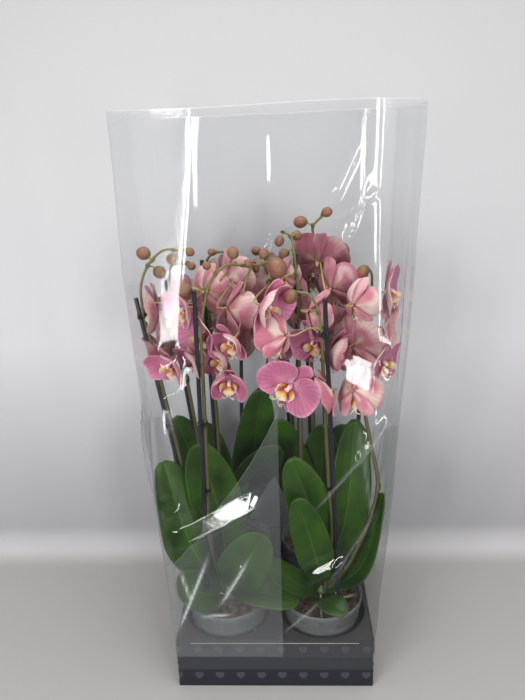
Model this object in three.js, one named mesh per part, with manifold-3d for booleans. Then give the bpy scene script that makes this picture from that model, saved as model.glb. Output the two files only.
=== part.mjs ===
// Four moth orchids in clear pots, standing in a printed card tray inside one tall clear film sleeve.
// Millimetres, +Z up. The origin is the middle of the tray's underside and the front faces -Y.
import * as THREE from "three";
import { mergeVertices } from "three/addons/utils/BufferGeometryUtils.js";
import Module from "manifold-3d";

const wasm = await Module();
wasm.setup();

// Clearance between touching pieces, and how much a piece grows when it cuts a neighbour
const GAP = 0.3;
const CUT_GROWTH = 0.35;

// Card tray and the folded insert that holds the pots
const TRAY_SIDE = 280;
const TRAY_HEIGHT = 80;
const BOARD = 2;
const POT_HOLE_RADIUS = 64;
const POT_HOLE_SIDES = 10;

// Clear plastic pot
const POT_OFFSET = 70;
const POT_BASE_RADIUS = 44;
const POT_SHOULDER_RADIUS = 58.6;
const POT_RIM_RADIUS = 60;
const POT_MOUTH_RADIUS = 58;
const POT_RIM_DEPTH = 6;
const POT_TOP = 110;
const POT_WALL = 1.4;
const POT_SIDES = 16;

// Bark filling and the short stem that carries the leaves
const BARK_TOP = 98;
const BARK_CROWN = 3;
const CROWN_RADIUS = 10;
const CROWN_FOOT = 78;
const CROWN_TOP = 124;
const CROWN_SIDES = 10;
const CROWN_TIP_RADIUS = 6;

// Film sleeve: its wall, and its outline at each height with its left and right corner radii
const FILM_WALL = 0.8;
const FILM_CORNER_POINTS = 5;
const FILM_CORNER_LEAST = 0.2;
const FILM_PROFILE = [
  { z: 53, halfWidth: 141.3, halfDepth: 141.3, left: 1.3, right: 1.3 },
  { z: 85, halfWidth: 141.3, halfDepth: 141.3, left: 1.3, right: 1.3 },
  { z: 110, halfWidth: 144, halfDepth: 143, left: 12, right: 8 },
  { z: 150, halfWidth: 148, halfDepth: 146, left: 30, right: 20 },
  { z: 200, halfWidth: 153, halfDepth: 148, left: 42, right: 28 },
  { z: 300, halfWidth: 161, halfDepth: 150, left: 48, right: 34 },
  { z: 420, halfWidth: 168, halfDepth: 150, left: 59, right: 39 },
  { z: 500, halfWidth: 174, halfDepth: 150, left: 73, right: 46 },
  { z: 600, halfWidth: 181, halfDepth: 150, left: 89, right: 53 },
  { z: 700, halfWidth: 184.5, halfDepth: 150, left: 106, right: 59 },
  { z: 790, halfWidth: 187, halfDepth: 150, left: 118, right: 61 },
];

// Support stakes, flower stems and the clips that tie them together
const STAKE_RADIUS = 2.9;
const STAKE_FOOT = 20;
const STAKE_SIDES = 8;
const STEM_RADIUS = 2.6;
const STEM_SIDES = 5;
const STEM_STEPS = 22;
const STEM_ROOT_HEIGHT = 106;
const STEM_TIE_HEIGHTS = [215, 320, 420];
const LATE_TIE_HEIGHTS = [400, 450];
const LAST_TIE_HEIGHT = 520;
const LAST_TIE_SPREAD = [-30, 6];
const STEM_TO_STAKE = STAKE_RADIUS + STEM_RADIUS + 0.7;
const PEDICEL_RADIUS = 1.4;
const PEDICEL_SIDES = 4;
const CLIP_WALL = 1.3;
const CLIP_HEIGHT = 7;
const CLIP_CLEARANCE = 0.5;
const CLIP_CURVE_POINTS = 3;

// Leaf: thickness at the rib and the edge, and where its sections stand along its length
const LEAF_RIB_THICKNESS = 2.6;
const LEAF_EDGE_THICKNESS = 1.2;
const LEAF_FOLD = 0.16;
const LEAF_STATIONS = [0, 0.18, 0.38, 0.58, 0.77, 0.92, 1];
const LEAF_WIDEST = 0.55;
const LEAF_ROOT_WIDTH = 0.3;
const LEAF_TIP_END = 1.02;
const LEAF_TOP_LEVEL = 118;
const LEAF_LEVEL_STEP = 3.5;

// Flower: five lobes round a centre, each with its direction in degrees, reach and half spread
const BLOOM_OUTLINE_POINTS = 20;
const BLOOM_CENTRE_RADIUS = 12;
const BLOOM_CENTRE_THICKNESS = 4;
const BLOOM_EDGE_THICKNESS = 1.6;
const BLOOM_LOBES = [
  { angle: 90, reach: 39, spread: 32 },
  { angle: 12, reach: 42, spread: 46 },
  { angle: 168, reach: 42, spread: 46 },
  { angle: -58, reach: 37, spread: 32 },
  { angle: -122, reach: 37, spread: 32 },
];
const LIP_SIZE = 8;
const LIP_DROP = 7;
const LIP_STAND_OUT = 4;

// Leaves: a point half way along, the tip, the width, and the way the upper face looks.
// Stakes: foot in the pot, and top. A spike is the flower stem tied to its stake: the side of the
// stake it lies on, the arch above the stake, and its buds [x, y, z, radius] and flowers
// [x, y, z, turn, lift, roll, size, bend]. Turn 0 faces the front, 90 the right, and lift is upwards.
// Roll is the turn in its own plane, and bend is how far the petals curl forwards, in radians.
const PLANTS = {
  front_left: {
    x: -POT_OFFSET,
    y: -POT_OFFSET,
    leaves: [
      { mid: [-112, -92, 190], tip: [-150, -78, 332], width: 76, face: [0.6, -0.8, 0.1] },
      { mid: [-46, -116, 178], tip: [-10, -126, 246], width: 70, face: [-0.1, -1, 0.3] },
      { mid: [-18, -104, 134], tip: [36, -112, 124], width: 46, face: [0, -0.35, 1] },
      { mid: [-74, -68, 232], tip: [-100, -72, 356], width: 76, face: [0.2, -1, 0] },
      { mid: [-104, -112, 138], tip: [-132, -122, 178], width: 54, face: [0.3, -0.6, 0.8] },
    ],
    stakes: [
      {
        foot: [-86, -60],
        top: [-171, -56, 560],
        spike: {
          side: [1, -0.3],
          clip: 536,
          arch: [[-163, -55, 575], [-152, -50, 602], [-131, -46, 620], [-106, -42, 618]],
          buds: [[-158, -44, 616, 8.5], [-141, -38, 590, 8], [-124, -36, 607, 6.5], [-99, -40, 616, 6]],
          blooms: [
            [-145, -46, 538, -75, 0, 0, 0.95, 0.7],
            [-147, -40, 482, -68, -15, 10, 0.85, 0.85],
            [-125, -84, 478, -35, -20, 0, 0.9, 0.9],
            [-99, -92, 554, -50, -5, -10, 0.85, 0.9],
          ],
        },
      },
      {
        foot: [-98, -88],
        top: [-85, -116, 582],
        spike: {
          side: [1, 0.5],
          clip: 402,
          arch: [[-75, -108, 562], [-66, -100, 590], [-48, -86, 606], [-30, -74, 604]],
          buds: [[-99, -104, 580, 9.5], [-71, -92, 607, 5], [-40, -72, 618, 8], [-22, -68, 604, 6]],
          blooms: [
            [-82, -84, 518, -42, -8, 12, 0.95, 0.75],
            [-90, -84, 485, -60, -20, -15, 0.85, 0.9],
            [-79, -64, 569, 150, 0, 15, 0.95, 0.9],
          ],
        },
      },
    ],
  },
  back_left: {
    x: -POT_OFFSET,
    y: POT_OFFSET,
    leaves: [
      { mid: [-118, 62, 220], tip: [-154, 52, 340], width: 70, face: [0.6, -0.8, 0] },
      { mid: [-38, 44, 250], tip: [-14, 28, 396], width: 62, face: [0, -1, 0] },
      { mid: [-96, 104, 190], tip: [-118, 118, 300], width: 70, face: [0.2, 1, 0.2] },
      { mid: [-46, 36, 226], tip: [8, -14, 322], width: 66, face: [0.4, -1, 0.2] },
    ],
    stakes: [
      {
        foot: [-100, 82],
        top: [-151, 52, 559],
        spike: {
          side: [1, -0.6],
          clip: 0,
          arch: [[-142, 40, 572], [-132, 22, 588], [-112, 6, 592]],
          buds: [[-104, 0, 590, 6], [-128, 32, 598, 6]],
          blooms: [
            [-122, -8, 518, -35, -5, 0, 0.95, 0.8],
            [-140, 6, 482, -72, -10, 10, 0.95, 0.8],
            [-124, 88, 520, -160, -5, 0, 0.95, 0.9],
            [-139, 70, 471, -125, -10, 0, 0.95, 0.9],
          ],
        },
      },
      {
        foot: [-88, 50],
        top: [-93, 30, 592],
        spike: {
          side: [1, -0.4],
          clip: 572,
          arch: [[-80, 5, 600], [-58, -24, 612], [-38, -42, 604], [-14, -58, 600], [6, -66, 606]],
          buds: [[-73, -12, 610, 5], [-22, -40, 592, 8], [-14, -46, 594, 6], [-2, -56, 613, 6.5], [14, -72, 600, 11.5]],
          blooms: [
            [-52, -58, 583, 138, 0, -12, 0.95, 1],
            [-50, -70, 548, 122, -10, 15, 1, 0.9],
            [-44, -98, 513, -28, -18, 10, 0.85, 1.05],
            [-48, -110, 464, -6, -18, -6, 0.9, 1.2],
            [-59, -88, 487, -38, -12, 8, 0.8, 1],
            [-29, -22, 509, -140, -20, -20, 1, 0.9],
            [-30, 10, 543, 150, -5, 10, 0.95, 0.8],
            [-66, 92, 548, 178, -5, 0, 0.95, 0.8],
            [-76, 86, 501, -170, -10, 0, 0.95, 0.8],
          ],
        },
      },
      { foot: [-62, 94], top: [-42, 62, 540] },
    ],
  },
  back_right: {
    x: POT_OFFSET,
    y: POT_OFFSET,
    leaves: [
      { mid: [34, 36, 240], tip: [10, 12, 352], width: 62, face: [0, -1, 0] },
      { mid: [78, 36, 226], tip: [76, 18, 340], width: 62, face: [-0.2, -1, 0] },
      { mid: [114, 52, 216], tip: [128, 36, 335], width: 66, face: [0.3, -1, 0] },
      { mid: [92, 112, 190], tip: [118, 120, 292], width: 70, face: [-0.2, 1, 0.2] },
    ],
    stakes: [
      {
        foot: [66, 56],
        top: [51, 35, 607],
        spike: {
          side: [1, -0.3],
          clip: 566,
          arch: [[60, 24, 592], [67, 16, 612], [63, 18, 636], [76, 20, 650]],
          buds: [[47, 20, 643, 8.5], [82, 20, 655, 6.5], [100, 8, 606, 11]],
          blooms: [
            [69, -14, 594, 168, 20, 10, 0.95, 0.7],
            [84, -50, 566, 152, 5, -12, 1, 1],
            [66, 82, 556, 175, -5, 0, 0.95, 0.8],
            [103, 80, 508, 150, -10, 0, 0.95, 0.8],
            [101, -34, 493, 170, -5, 20, 1.05, 0.7],
          ],
        },
      },
      {
        foot: [44, 80],
        top: [12, 50, 563],
        spike: {
          side: [1, -0.2],
          clip: 0,
          arch: [[10, 30, 580], [4, 5, 594], [4, -28, 588], [4, -50, 576]],
          buds: [[-14, 12, 606, 6]],
          blooms: [
            [-2, -98, 557, 56, -10, -8, 1.05, 0.9],
            [4, -52, 481, 60, -15, 10, 0.9, 0.9],
            [26, -30, 546, 120, -5, 0, 0.9, 0.8],
            [3, 90, 548, 180, -5, 0, 0.95, 0.8],
            [20, 102, 501, 168, -10, 0, 0.95, 0.8],
            [-22, 94, 458, -165, -15, 0, 0.95, 0.8],
          ],
        },
      },
      { foot: [92, 90], top: [76, 66, 563] },
    ],
  },
  front_right: {
    x: POT_OFFSET,
    y: -POT_OFFSET,
    leaves: [
      { mid: [62, -92, 230], tip: [28, -98, 346], width: 64, face: [0.2, -1, 0] },
      { mid: [58, -112, 196], tip: [35, -120, 298], width: 52, face: [0.1, -1, 0.1] },
      { mid: [104, -80, 238], tip: [116, -60, 384], width: 62, face: [0.3, -1, 0] },
      { mid: [124, -84, 162], tip: [156, -82, 280], width: 58, face: [-1, -0.2, 0.4] },
      { mid: [26, -98, 152], tip: [-14, -108, 190], width: 40, face: [0, -0.5, 0.9] },
      { mid: [82, -112, 124], tip: [100, -132, 120], width: 40, face: [0, -0.3, 1] },
    ],
    stakes: [
      {
        foot: [44, -50],
        top: [38, -45, 611],
        spike: {
          side: [0.3, -1],
          clip: 562,
          arch: [[36, -48, 616], [33, -40, 632], [24, -32, 638]],
          buds: [[18, -32, 626, 6], [40, -30, 632, 6.5], [24, -36, 610, 6.5]],
          blooms: [
            [24, -52, 584, 160, 0, 0, 0.7, 1.2],
            [29, -116, 458, -22, -10, -42, 1.05, 0.6],
            [63, -70, 501, -40, -10, 15, 0.9, 0.9],
          ],
        },
      },
      {
        foot: [98, -84],
        top: [72, -112, 567],
        spike: {
          side: [-1, 0.2],
          clip: 522,
          arch: [[62, -106, 558], [52, -104, 572], [40, -102, 574]],
          buds: [[31, -102, 569, 9]],
          blooms: [
            [24, -112, 522, -128, -12, 20, 1.05, 1.1],
            [54, -78, 542, 98, -12, 30, 0.95, 0.9],
            [81, -80, 489, 70, -10, -10, 0.9, 0.9],
            [83, -96, 442, -80, -15, 0, 0.95, 0.9],
          ],
        },
      },
      {
        foot: [108, -60],
        top: [131, -36, 566],
        spike: {
          side: [1, 0.1],
          clip: 0,
          route: [[112, -82, 172], [148, -74, 284], [139, -58, 345]],
          arch: [[138, -36, 562], [137, -36, 582], [131, -37, 590]],
          buds: [[126, -38, 584, 9]],
          blooms: [
            [109, -92, 554, 132, 4, 15, 1, 1.1],
            [155, -50, 559, 72, 0, -8, 1, 0.65],
            [111, -62, 491, 150, -8, -15, 1, 0.8],
            [153, -56, 513, 82, -10, 0, 0.9, 0.8],
            [147, -74, 472, 48, -12, 8, 0.95, 0.8],
            [109, -106, 444, 140, -30, -10, 1, 0.9],
          ],
        },
      },
    ],
  },
};

// Finishes, one material made for each mesh
const FINISHES = {
  card: { color: 0x3a3a42, roughness: 0.75, metalness: 0 },
  clear_pot: { color: 0xd8dcd8, roughness: 0.3, metalness: 0, transparent: true, opacity: 0.45 },
  bark: { color: 0x4a3423, roughness: 0.95, metalness: 0 },
  plant_green: { color: 0x5c7038, roughness: 0.6, metalness: 0 },
  leaf: { color: 0x2f5a24, roughness: 0.4, metalness: 0 },
  stake: { color: 0x14161c, roughness: 0.45, metalness: 0 },
  petal: { color: 0xd0708c, roughness: 0.65, metalness: 0 },
  film: { color: 0xf0f4f6, roughness: 0.05, metalness: 0, transparent: true, opacity: 0.25 },
};

const vector = (point) => new THREE.Vector3(...point);
const radians = THREE.MathUtils.degToRad;

// A closed geometry as a solid that can be joined and cut.
function solidOf(geometry) {
  const bare = geometry.clone();
  bare.deleteAttribute("normal");
  bare.deleteAttribute("uv");
  const merged = mergeVertices(bare, 1e-4);
  return new wasm.Manifold(
    new wasm.Mesh({
      numProp: 3,
      vertProperties: merged.attributes.position.array,
      triVerts: new Uint32Array(merged.index.array),
    }),
  );
}

// A solid back as a geometry with normals.
function geometryOf(solid) {
  const mesh = solid.getMesh();
  const geometry = new THREE.BufferGeometry();
  geometry.setAttribute("position", new THREE.BufferAttribute(mesh.vertProperties, 3));
  geometry.setIndex(new THREE.BufferAttribute(mesh.triVerts, 1));
  geometry.computeVertexNormals();
  return geometry;
}

const joined = (solids) => solids.reduce((whole, solid) => whole.add(solid));

// What is left of a solid after its neighbours are cut away, as one body.
function clearOf(solid, neighbours) {
  const cut = neighbours.reduce((left, neighbour) => left.subtract(neighbour), solid);
  const bodies = cut.decompose();
  return bodies.reduce((best, body) => (body.volume() > best.volume() ? body : best));
}

// Rings of points joined one to the next, ending in a point each, or closed on the first ring.
function loft(rings, ends) {
  const count = rings[0].length;
  const points = rings.flat();
  const faces = [];
  const joins = ends ? rings.length - 1 : rings.length;
  for (let ring = 0; ring < joins; ring++) {
    const low = ring * count;
    const high = ((ring + 1) % rings.length) * count;
    for (let i = 0; i < count; i++) {
      const next = (i + 1) % count;
      faces.push(low + i, low + next, high + next, low + i, high + next, high + i);
    }
  }
  if (ends) {
    const last = (rings.length - 1) * count;
    for (let i = 0; i < count; i++) {
      const next = (i + 1) % count;
      faces.push(points.length, next, i, points.length + 1, last + i, last + next);
    }
    points.push(...ends);
  }
  const geometry = new THREE.BufferGeometry().setFromPoints(points);
  geometry.setIndex(faces);
  return geometry;
}

// A round rod of some sides between two points.
function rod(from, to, radius, sides) {
  const along = to.clone().sub(from);
  const geometry = new THREE.CylinderGeometry(radius, radius, along.length(), sides);
  const turn = new THREE.Quaternion().setFromUnitVectors(new THREE.Vector3(0, 1, 0), along.clone().normalize());
  geometry.applyQuaternion(turn);
  geometry.translate(...from.clone().add(to).multiplyScalar(0.5));
  return geometry;
}

// A closed profile in the plane of radius and height, spun round the Z axis.
function spun(profile, sides) {
  const outline = profile.map(([radius, height]) => new THREE.Vector2(radius, height));
  const geometry = new THREE.LatheGeometry(outline, sides);
  return geometry.rotateX(Math.PI / 2);
}

const box = (width, depth, height, x, y, z) =>
  new THREE.BoxGeometry(width, depth, height).translate(x, y, z + height / 2);

// Card tray

function trayBody() {
  const inside = TRAY_SIDE - 2 * BOARD;
  const outer = solidOf(box(TRAY_SIDE, TRAY_SIDE, TRAY_HEIGHT, 0, 0, 0));
  return outer.subtract(solidOf(box(inside, inside, TRAY_HEIGHT, 0, 0, BOARD)));
}

function insertBody() {
  const side = TRAY_SIDE - 2 * (BOARD + GAP);
  const deck = new THREE.Shape([
    new THREE.Vector2(-side / 2, -side / 2),
    new THREE.Vector2(side / 2, -side / 2),
    new THREE.Vector2(side / 2, side / 2),
    new THREE.Vector2(-side / 2, side / 2),
  ]);
  for (const { x, y } of Object.values(PLANTS)) {
    deck.holes.push(new THREE.Path().absarc(x, y, POT_HOLE_RADIUS, 0, 2 * Math.PI, true));
  }
  const top = new THREE.ExtrudeGeometry(deck, {
    depth: BOARD,
    bevelEnabled: false,
    curveSegments: POT_HOLE_SIDES,
  });
  top.translate(0, 0, TRAY_HEIGHT - BOARD);
  const foot = BOARD + GAP;
  const height = TRAY_HEIGHT - BOARD / 2 - foot;
  const legs = [-1, 1].map((end) => box(BOARD, side, height, (end * (side - BOARD)) / 2, 0, foot));
  return joined([top, ...legs].map(solidOf));
}

// Pot, bark and crown

const POT_BASE = BOARD + GAP;
const POT_FLOOR = POT_BASE + POT_WALL;

function potBody(plant) {
  const shoulder = POT_TOP - POT_RIM_DEPTH;
  const profile = [
    [0, POT_BASE],
    [POT_BASE_RADIUS, POT_BASE],
    [POT_SHOULDER_RADIUS, shoulder],
    [POT_RIM_RADIUS, shoulder],
    [POT_RIM_RADIUS, POT_TOP],
    [POT_MOUTH_RADIUS, POT_TOP],
    [POT_BASE_RADIUS - POT_WALL, POT_FLOOR],
    [0, POT_FLOOR],
  ];
  return solidOf(spun(profile, POT_SIDES).translate(plant.x, plant.y, 0));
}

function crownBody(plant, grow = 0) {
  const radius = CROWN_RADIUS + grow;
  const profile = [
    [0, CROWN_FOOT - grow],
    [radius, CROWN_FOOT - grow],
    [radius, CROWN_TOP - radius + grow],
    [CROWN_TIP_RADIUS + grow, CROWN_TOP + grow],
    [0, CROWN_TOP + grow],
  ];
  return solidOf(spun(profile, CROWN_SIDES).translate(plant.x, plant.y, 0));
}

function barkBody(plant, cutters) {
  const foot = POT_FLOOR + GAP;
  const slope = (POT_MOUTH_RADIUS - POT_BASE_RADIUS + POT_WALL) / (POT_TOP - POT_FLOOR);
  const rim = POT_BASE_RADIUS - POT_WALL - 2 * GAP;
  const profile = [
    [0, foot],
    [rim, foot],
    [rim + slope * (BARK_TOP - foot), BARK_TOP],
    [0, BARK_TOP + BARK_CROWN],
  ];
  const bark = solidOf(spun(profile, POT_SIDES).translate(plant.x, plant.y, 0));
  return clearOf(bark, cutters);
}

// Film sleeve

function roundedRing(halfWidth, halfDepth, left, right, z) {
  const ring = [];
  for (let quarter = 0; quarter < 4; quarter++) {
    const signX = quarter === 0 || quarter === 3 ? 1 : -1;
    const signY = quarter < 2 ? 1 : -1;
    const corner = signX > 0 ? right : left;
    for (let i = 0; i < FILM_CORNER_POINTS; i++) {
      const angle = ((quarter + i / (FILM_CORNER_POINTS - 1)) * Math.PI) / 2;
      const x = signX * (halfWidth - corner) + corner * Math.cos(angle);
      const y = signY * (halfDepth - corner) + corner * Math.sin(angle);
      ring.push(new THREE.Vector3(x, y, z));
    }
  }
  return ring;
}

function filmRings(inset) {
  return FILM_PROFILE.map(({ z, halfWidth, halfDepth, left, right }) => {
    const corners = [left, right].map((corner) => Math.max(corner - inset, FILM_CORNER_LEAST));
    return roundedRing(halfWidth - inset, halfDepth - inset, ...corners, z);
  });
}

function sleeveBody() {
  return solidOf(loft([...filmRings(0), ...filmRings(FILM_WALL).reverse()]));
}

// The room inside the sleeve, which the leaves and flowers press against but stay within.
function roomInside() {
  const rings = filmRings(FILM_WALL + CUT_GROWTH);
  const low = new THREE.Vector3(0, 0, FILM_PROFILE[0].z);
  const high = new THREE.Vector3(0, 0, FILM_PROFILE.at(-1).z);
  return solidOf(loft(rings, [low, high]));
}

// Leaves

function leafSpread(t) {
  if (t < LEAF_WIDEST) {
    return THREE.MathUtils.lerp(LEAF_ROOT_WIDTH, 1, THREE.MathUtils.smoothstep(t, 0, LEAF_WIDEST));
  }
  return Math.sqrt(1 - ((t - LEAF_WIDEST) / (LEAF_TIP_END - LEAF_WIDEST)) ** 2);
}

function leafBody(plant, leaf, level, grow = 0) {
  const root = new THREE.Vector3(plant.x, plant.y, level);
  const path = new THREE.CatmullRomCurve3([root, vector(leaf.mid), vector(leaf.tip)]);
  const rings = LEAF_STATIONS.map((t) => {
    const middle = path.getPointAt(t);
    const along = path.getTangentAt(t);
    const across = along.clone().cross(vector(leaf.face)).normalize();
    const up = across.clone().cross(along);
    const half = (leaf.width / 2) * leafSpread(t) + grow;
    const rib = LEAF_RIB_THICKNESS / 2 + grow;
    const edge = LEAF_EDGE_THICKNESS / 2 + grow;
    const fold = half * LEAF_FOLD;
    const section = [
      [half, fold - edge],
      [0, -rib],
      [-half, fold - edge],
      [-half, fold + edge],
      [0, rib],
      [half, fold + edge],
    ];
    return section.map(([side, lift]) =>
      middle.clone().addScaledVector(across, side).addScaledVector(up, lift),
    );
  });
  return solidOf(loft(rings, [path.getPointAt(0), path.getPointAt(1)]));
}

// Stakes and clips

function stakeLine(stake) {
  return new THREE.Line3(new THREE.Vector3(...stake.foot, STAKE_FOOT), vector(stake.top));
}

function stakeBody(stake, grow = 0) {
  const { start, end } = stakeLine(stake);
  const reach = end.clone().sub(start).setLength(grow);
  const geometry = rod(start.sub(reach), end.add(reach), STAKE_RADIUS + grow, STAKE_SIDES);
  return solidOf(geometry);
}

// The place on the stake at some height, and the stem's place beside it.
function besideStake(stake, height) {
  const line = stakeLine(stake);
  const place = line.at((height - line.start.z) / (line.end.z - line.start.z), new THREE.Vector3());
  const side = new THREE.Vector3(...stake.spike.side, 0).setLength(STEM_TO_STAKE);
  return { place, side, stem: place.clone().add(side) };
}

function clipBody(stake, grow = 0) {
  const { place, side } = besideStake(stake, stake.spike.clip);
  const inner = STAKE_RADIUS + CLIP_CLEARANCE;
  const outer = inner + CLIP_WALL + grow;
  const reach = STEM_TO_STAKE;
  const outline = new THREE.Shape()
    .absarc(0, 0, outer, Math.PI / 2, (3 * Math.PI) / 2, false)
    .absarc(reach, 0, outer, -Math.PI / 2, Math.PI / 2, false);
  if (!grow) {
    const hole = new THREE.Path()
      .absarc(0, 0, inner, Math.PI / 2, (3 * Math.PI) / 2, false)
      .absarc(reach, 0, inner, -Math.PI / 2, Math.PI / 2, false);
    outline.holes.push(hole);
  }
  const height = CLIP_HEIGHT + 2 * grow;
  const ring = new THREE.ExtrudeGeometry(outline, {
    depth: height,
    bevelEnabled: false,
    curveSegments: CLIP_CURVE_POINTS,
  });
  ring.translate(0, 0, -height / 2);
  const line = stakeLine(stake);
  const along = line.delta(new THREE.Vector3()).normalize();
  const across = along.clone().cross(side).normalize();
  const frame = new THREE.Matrix4().makeBasis(across.clone().cross(along), across, along);
  ring.applyMatrix4(frame.setPosition(place));
  return solidOf(ring);
}

// Flower spikes

function stemPath(plant, stake) {
  const { spike } = stake;
  const lastTie = Math.max(spike.clip, LAST_TIE_HEIGHT);
  const heights = [
    ...(spike.route ? LATE_TIE_HEIGHTS : STEM_TIE_HEIGHTS),
    ...LAST_TIE_SPREAD.map((offset) => lastTie + offset),
  ];
  const beside = heights.map((height) => besideStake(stake, height).stem);
  const toward = (spike.route ? vector(spike.route[0]) : beside[0]).clone();
  toward.sub(new THREE.Vector3(plant.x, plant.y, toward.z)).setLength(CROWN_RADIUS / 2);
  const root = new THREE.Vector3(plant.x, plant.y, STEM_ROOT_HEIGHT).add(toward);
  const points = [root, ...(spike.route ?? []).map(vector), ...beside, ...spike.arch.map(vector)];
  return new THREE.CatmullRomCurve3(points, false, "centripetal");
}

function stemBody(path, grow) {
  const corners = [];
  for (let i = 0; i < STEM_SIDES; i++) {
    const angle = (2 * Math.PI * i) / STEM_SIDES;
    corners.push(new THREE.Vector2(Math.cos(angle), Math.sin(angle)).setLength(STEM_RADIUS + grow));
  }
  const section = new THREE.Shape(corners);
  return solidOf(
    new THREE.ExtrudeGeometry(section, { steps: STEM_STEPS, extrudePath: path, bevelEnabled: false }),
  );
}

// The place on a stem from which a flower or bud stalk grows.
function stalkRoot(path, target) {
  let best = path.getPointAt(1);
  for (let step = Math.floor(STEM_STEPS / 2); step < STEM_STEPS; step++) {
    const place = path.getPointAt(step / STEM_STEPS);
    if (place.distanceTo(target) < best.distanceTo(target)) {
      best = place;
    }
  }
  return best;
}

function facing(turn, lift) {
  const level = Math.cos(radians(lift));
  const right = Math.sin(radians(turn));
  const front = -Math.cos(radians(turn));
  return new THREE.Vector3(right * level, front * level, Math.sin(radians(lift)));
}

function bloomReach(angle) {
  const reaches = BLOOM_LOBES.map((lobe) => {
    const away = Math.abs(THREE.MathUtils.euclideanModulo(angle - lobe.angle + 180, 360) - 180);
    const inside = Math.max(Math.cos(radians((90 * Math.min(away, lobe.spread)) / lobe.spread)), 0);
    return lobe.reach * Math.sqrt(inside);
  });
  return Math.max(BLOOM_CENTRE_RADIUS, ...reaches);
}

function bloomBody([x, y, z, turn, lift, roll, size, bend], grow) {
  const curl = bend / BLOOM_LOBES[1].reach;
  const ringAt = (level) => {
    const ring = [];
    for (let i = 0; i < BLOOM_OUTLINE_POINTS; i++) {
      const degrees = (360 * i) / BLOOM_OUTLINE_POINTS + 90;
      const turned = curl * bloomReach(degrees);
      const reach = (Math.sin(turned) / curl) * size + grow;
      const rise = ((1 - Math.cos(turned)) / curl) * size;
      const angle = radians(degrees);
      ring.push(new THREE.Vector3(reach * Math.cos(angle), reach * Math.sin(angle), level + rise));
    }
    return ring;
  };
  const edge = BLOOM_EDGE_THICKNESS / 2 + grow;
  const middle = BLOOM_CENTRE_THICKNESS / 2 + grow;
  const ends = [new THREE.Vector3(0, 0, -middle), new THREE.Vector3(0, 0, middle)];
  const petals = loft([ringAt(-edge), ringAt(edge)], ends);
  const lip = new THREE.OctahedronGeometry(LIP_SIZE * size + grow);
  lip.translate(0, -LIP_DROP * size, LIP_STAND_OUT * size);
  const normal = facing(turn, lift);
  const right = new THREE.Vector3(0, 0, 1).cross(normal).normalize();
  const frame = new THREE.Matrix4().makeBasis(right, normal.clone().cross(right), normal);
  frame.setPosition(x, y, z);
  return joined([petals, lip].map((shape) => solidOf(shape.rotateZ(radians(roll)).applyMatrix4(frame))));
}

// Stem, stalks and buds of a spike: what the flowers hang on.
function spikeSkeleton(plant, stake, grow = 0) {
  const path = stemPath(plant, stake);
  const pieces = [stemBody(path, grow)];
  for (const [x, y, z, radius] of stake.spike.buds) {
    const centre = new THREE.Vector3(x, y, z);
    const bud = new THREE.IcosahedronGeometry(radius + grow).translate(x, y, z);
    pieces.push(solidOf(bud));
    pieces.push(solidOf(rod(stalkRoot(path, centre), centre, PEDICEL_RADIUS + grow, PEDICEL_SIDES)));
  }
  for (const [x, y, z] of stake.spike.blooms) {
    const centre = new THREE.Vector3(x, y, z);
    pieces.push(solidOf(rod(stalkRoot(path, centre), centre, PEDICEL_RADIUS + grow, PEDICEL_SIDES)));
  }
  return joined(pieces);
}

const spikeBlooms = (stake, grow = 0) => joined(stake.spike.blooms.map((bloom) => bloomBody(bloom, grow)));

// The whole display, piece by piece. Soft pieces are cut clear of the stiffer ones they touch.

const display = new THREE.Group();

function addPiece(name, solid, finish) {
  const mesh = new THREE.Mesh(geometryOf(solid), new THREE.MeshStandardMaterial(FINISHES[finish]));
  mesh.name = name;
  display.add(mesh);
}

const room = roomInside();
const plants = Object.entries(PLANTS);
const allStakes = plants.flatMap(([name, plant]) =>
  plant.stakes.map((stake, i) => ({ name, plant, stake, letter: "abc"[i] })),
);
const flowering = allStakes.filter(({ stake }) => stake.spike);
const clipped = flowering.filter(({ stake }) => stake.spike.clip);

const grownStakes = allStakes.map(({ stake }) => stakeBody(stake, CUT_GROWTH));
const grownCrowns = plants.map(([, plant]) => crownBody(plant, CUT_GROWTH));
const grownSkeletons = flowering.map(({ plant, stake }) => spikeSkeleton(plant, stake, CUT_GROWTH));
const grownClips = clipped.map(({ stake }) => clipBody(stake, CUT_GROWTH));

addPiece("display_tray", trayBody(), "card");
addPiece("pot_insert", insertBody(), "card");
addPiece("film_sleeve", sleeveBody(), "film");

plants.forEach(([name, plant]) => {
  addPiece(name + "_pot", potBody(plant), "clear_pot");
  addPiece(name + "_bark", barkBody(plant, [...grownStakes, ...grownCrowns]), "bark");
  addPiece(name + "_crown", clearOf(crownBody(plant), grownStakes), "plant_green");
});

for (const { name, stake, letter } of allStakes) {
  addPiece(name + "_stake_" + letter, stakeBody(stake), "stake");
}

for (const { name, stake, letter } of clipped) {
  const cutters = [...grownStakes, ...grownSkeletons];
  addPiece(name + "_clip_" + letter, clearOf(clipBody(stake), cutters), "stake");
}

const grownBlooms = [];
flowering.forEach(({ name, plant, stake, letter }, index) => {
  const others = grownSkeletons.filter((_, other) => other !== index);
  const petals = spikeBlooms(stake).subtract(joined([...grownStakes, ...others, ...grownClips, ...grownBlooms]));
  const spike = spikeSkeleton(plant, stake).add(petals).intersect(room);
  addPiece(name + "_spike_" + letter, clearOf(spike, [...grownCrowns, ...grownStakes]), "petal");
  grownBlooms.push(spikeBlooms(stake, CUT_GROWTH));
});

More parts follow.
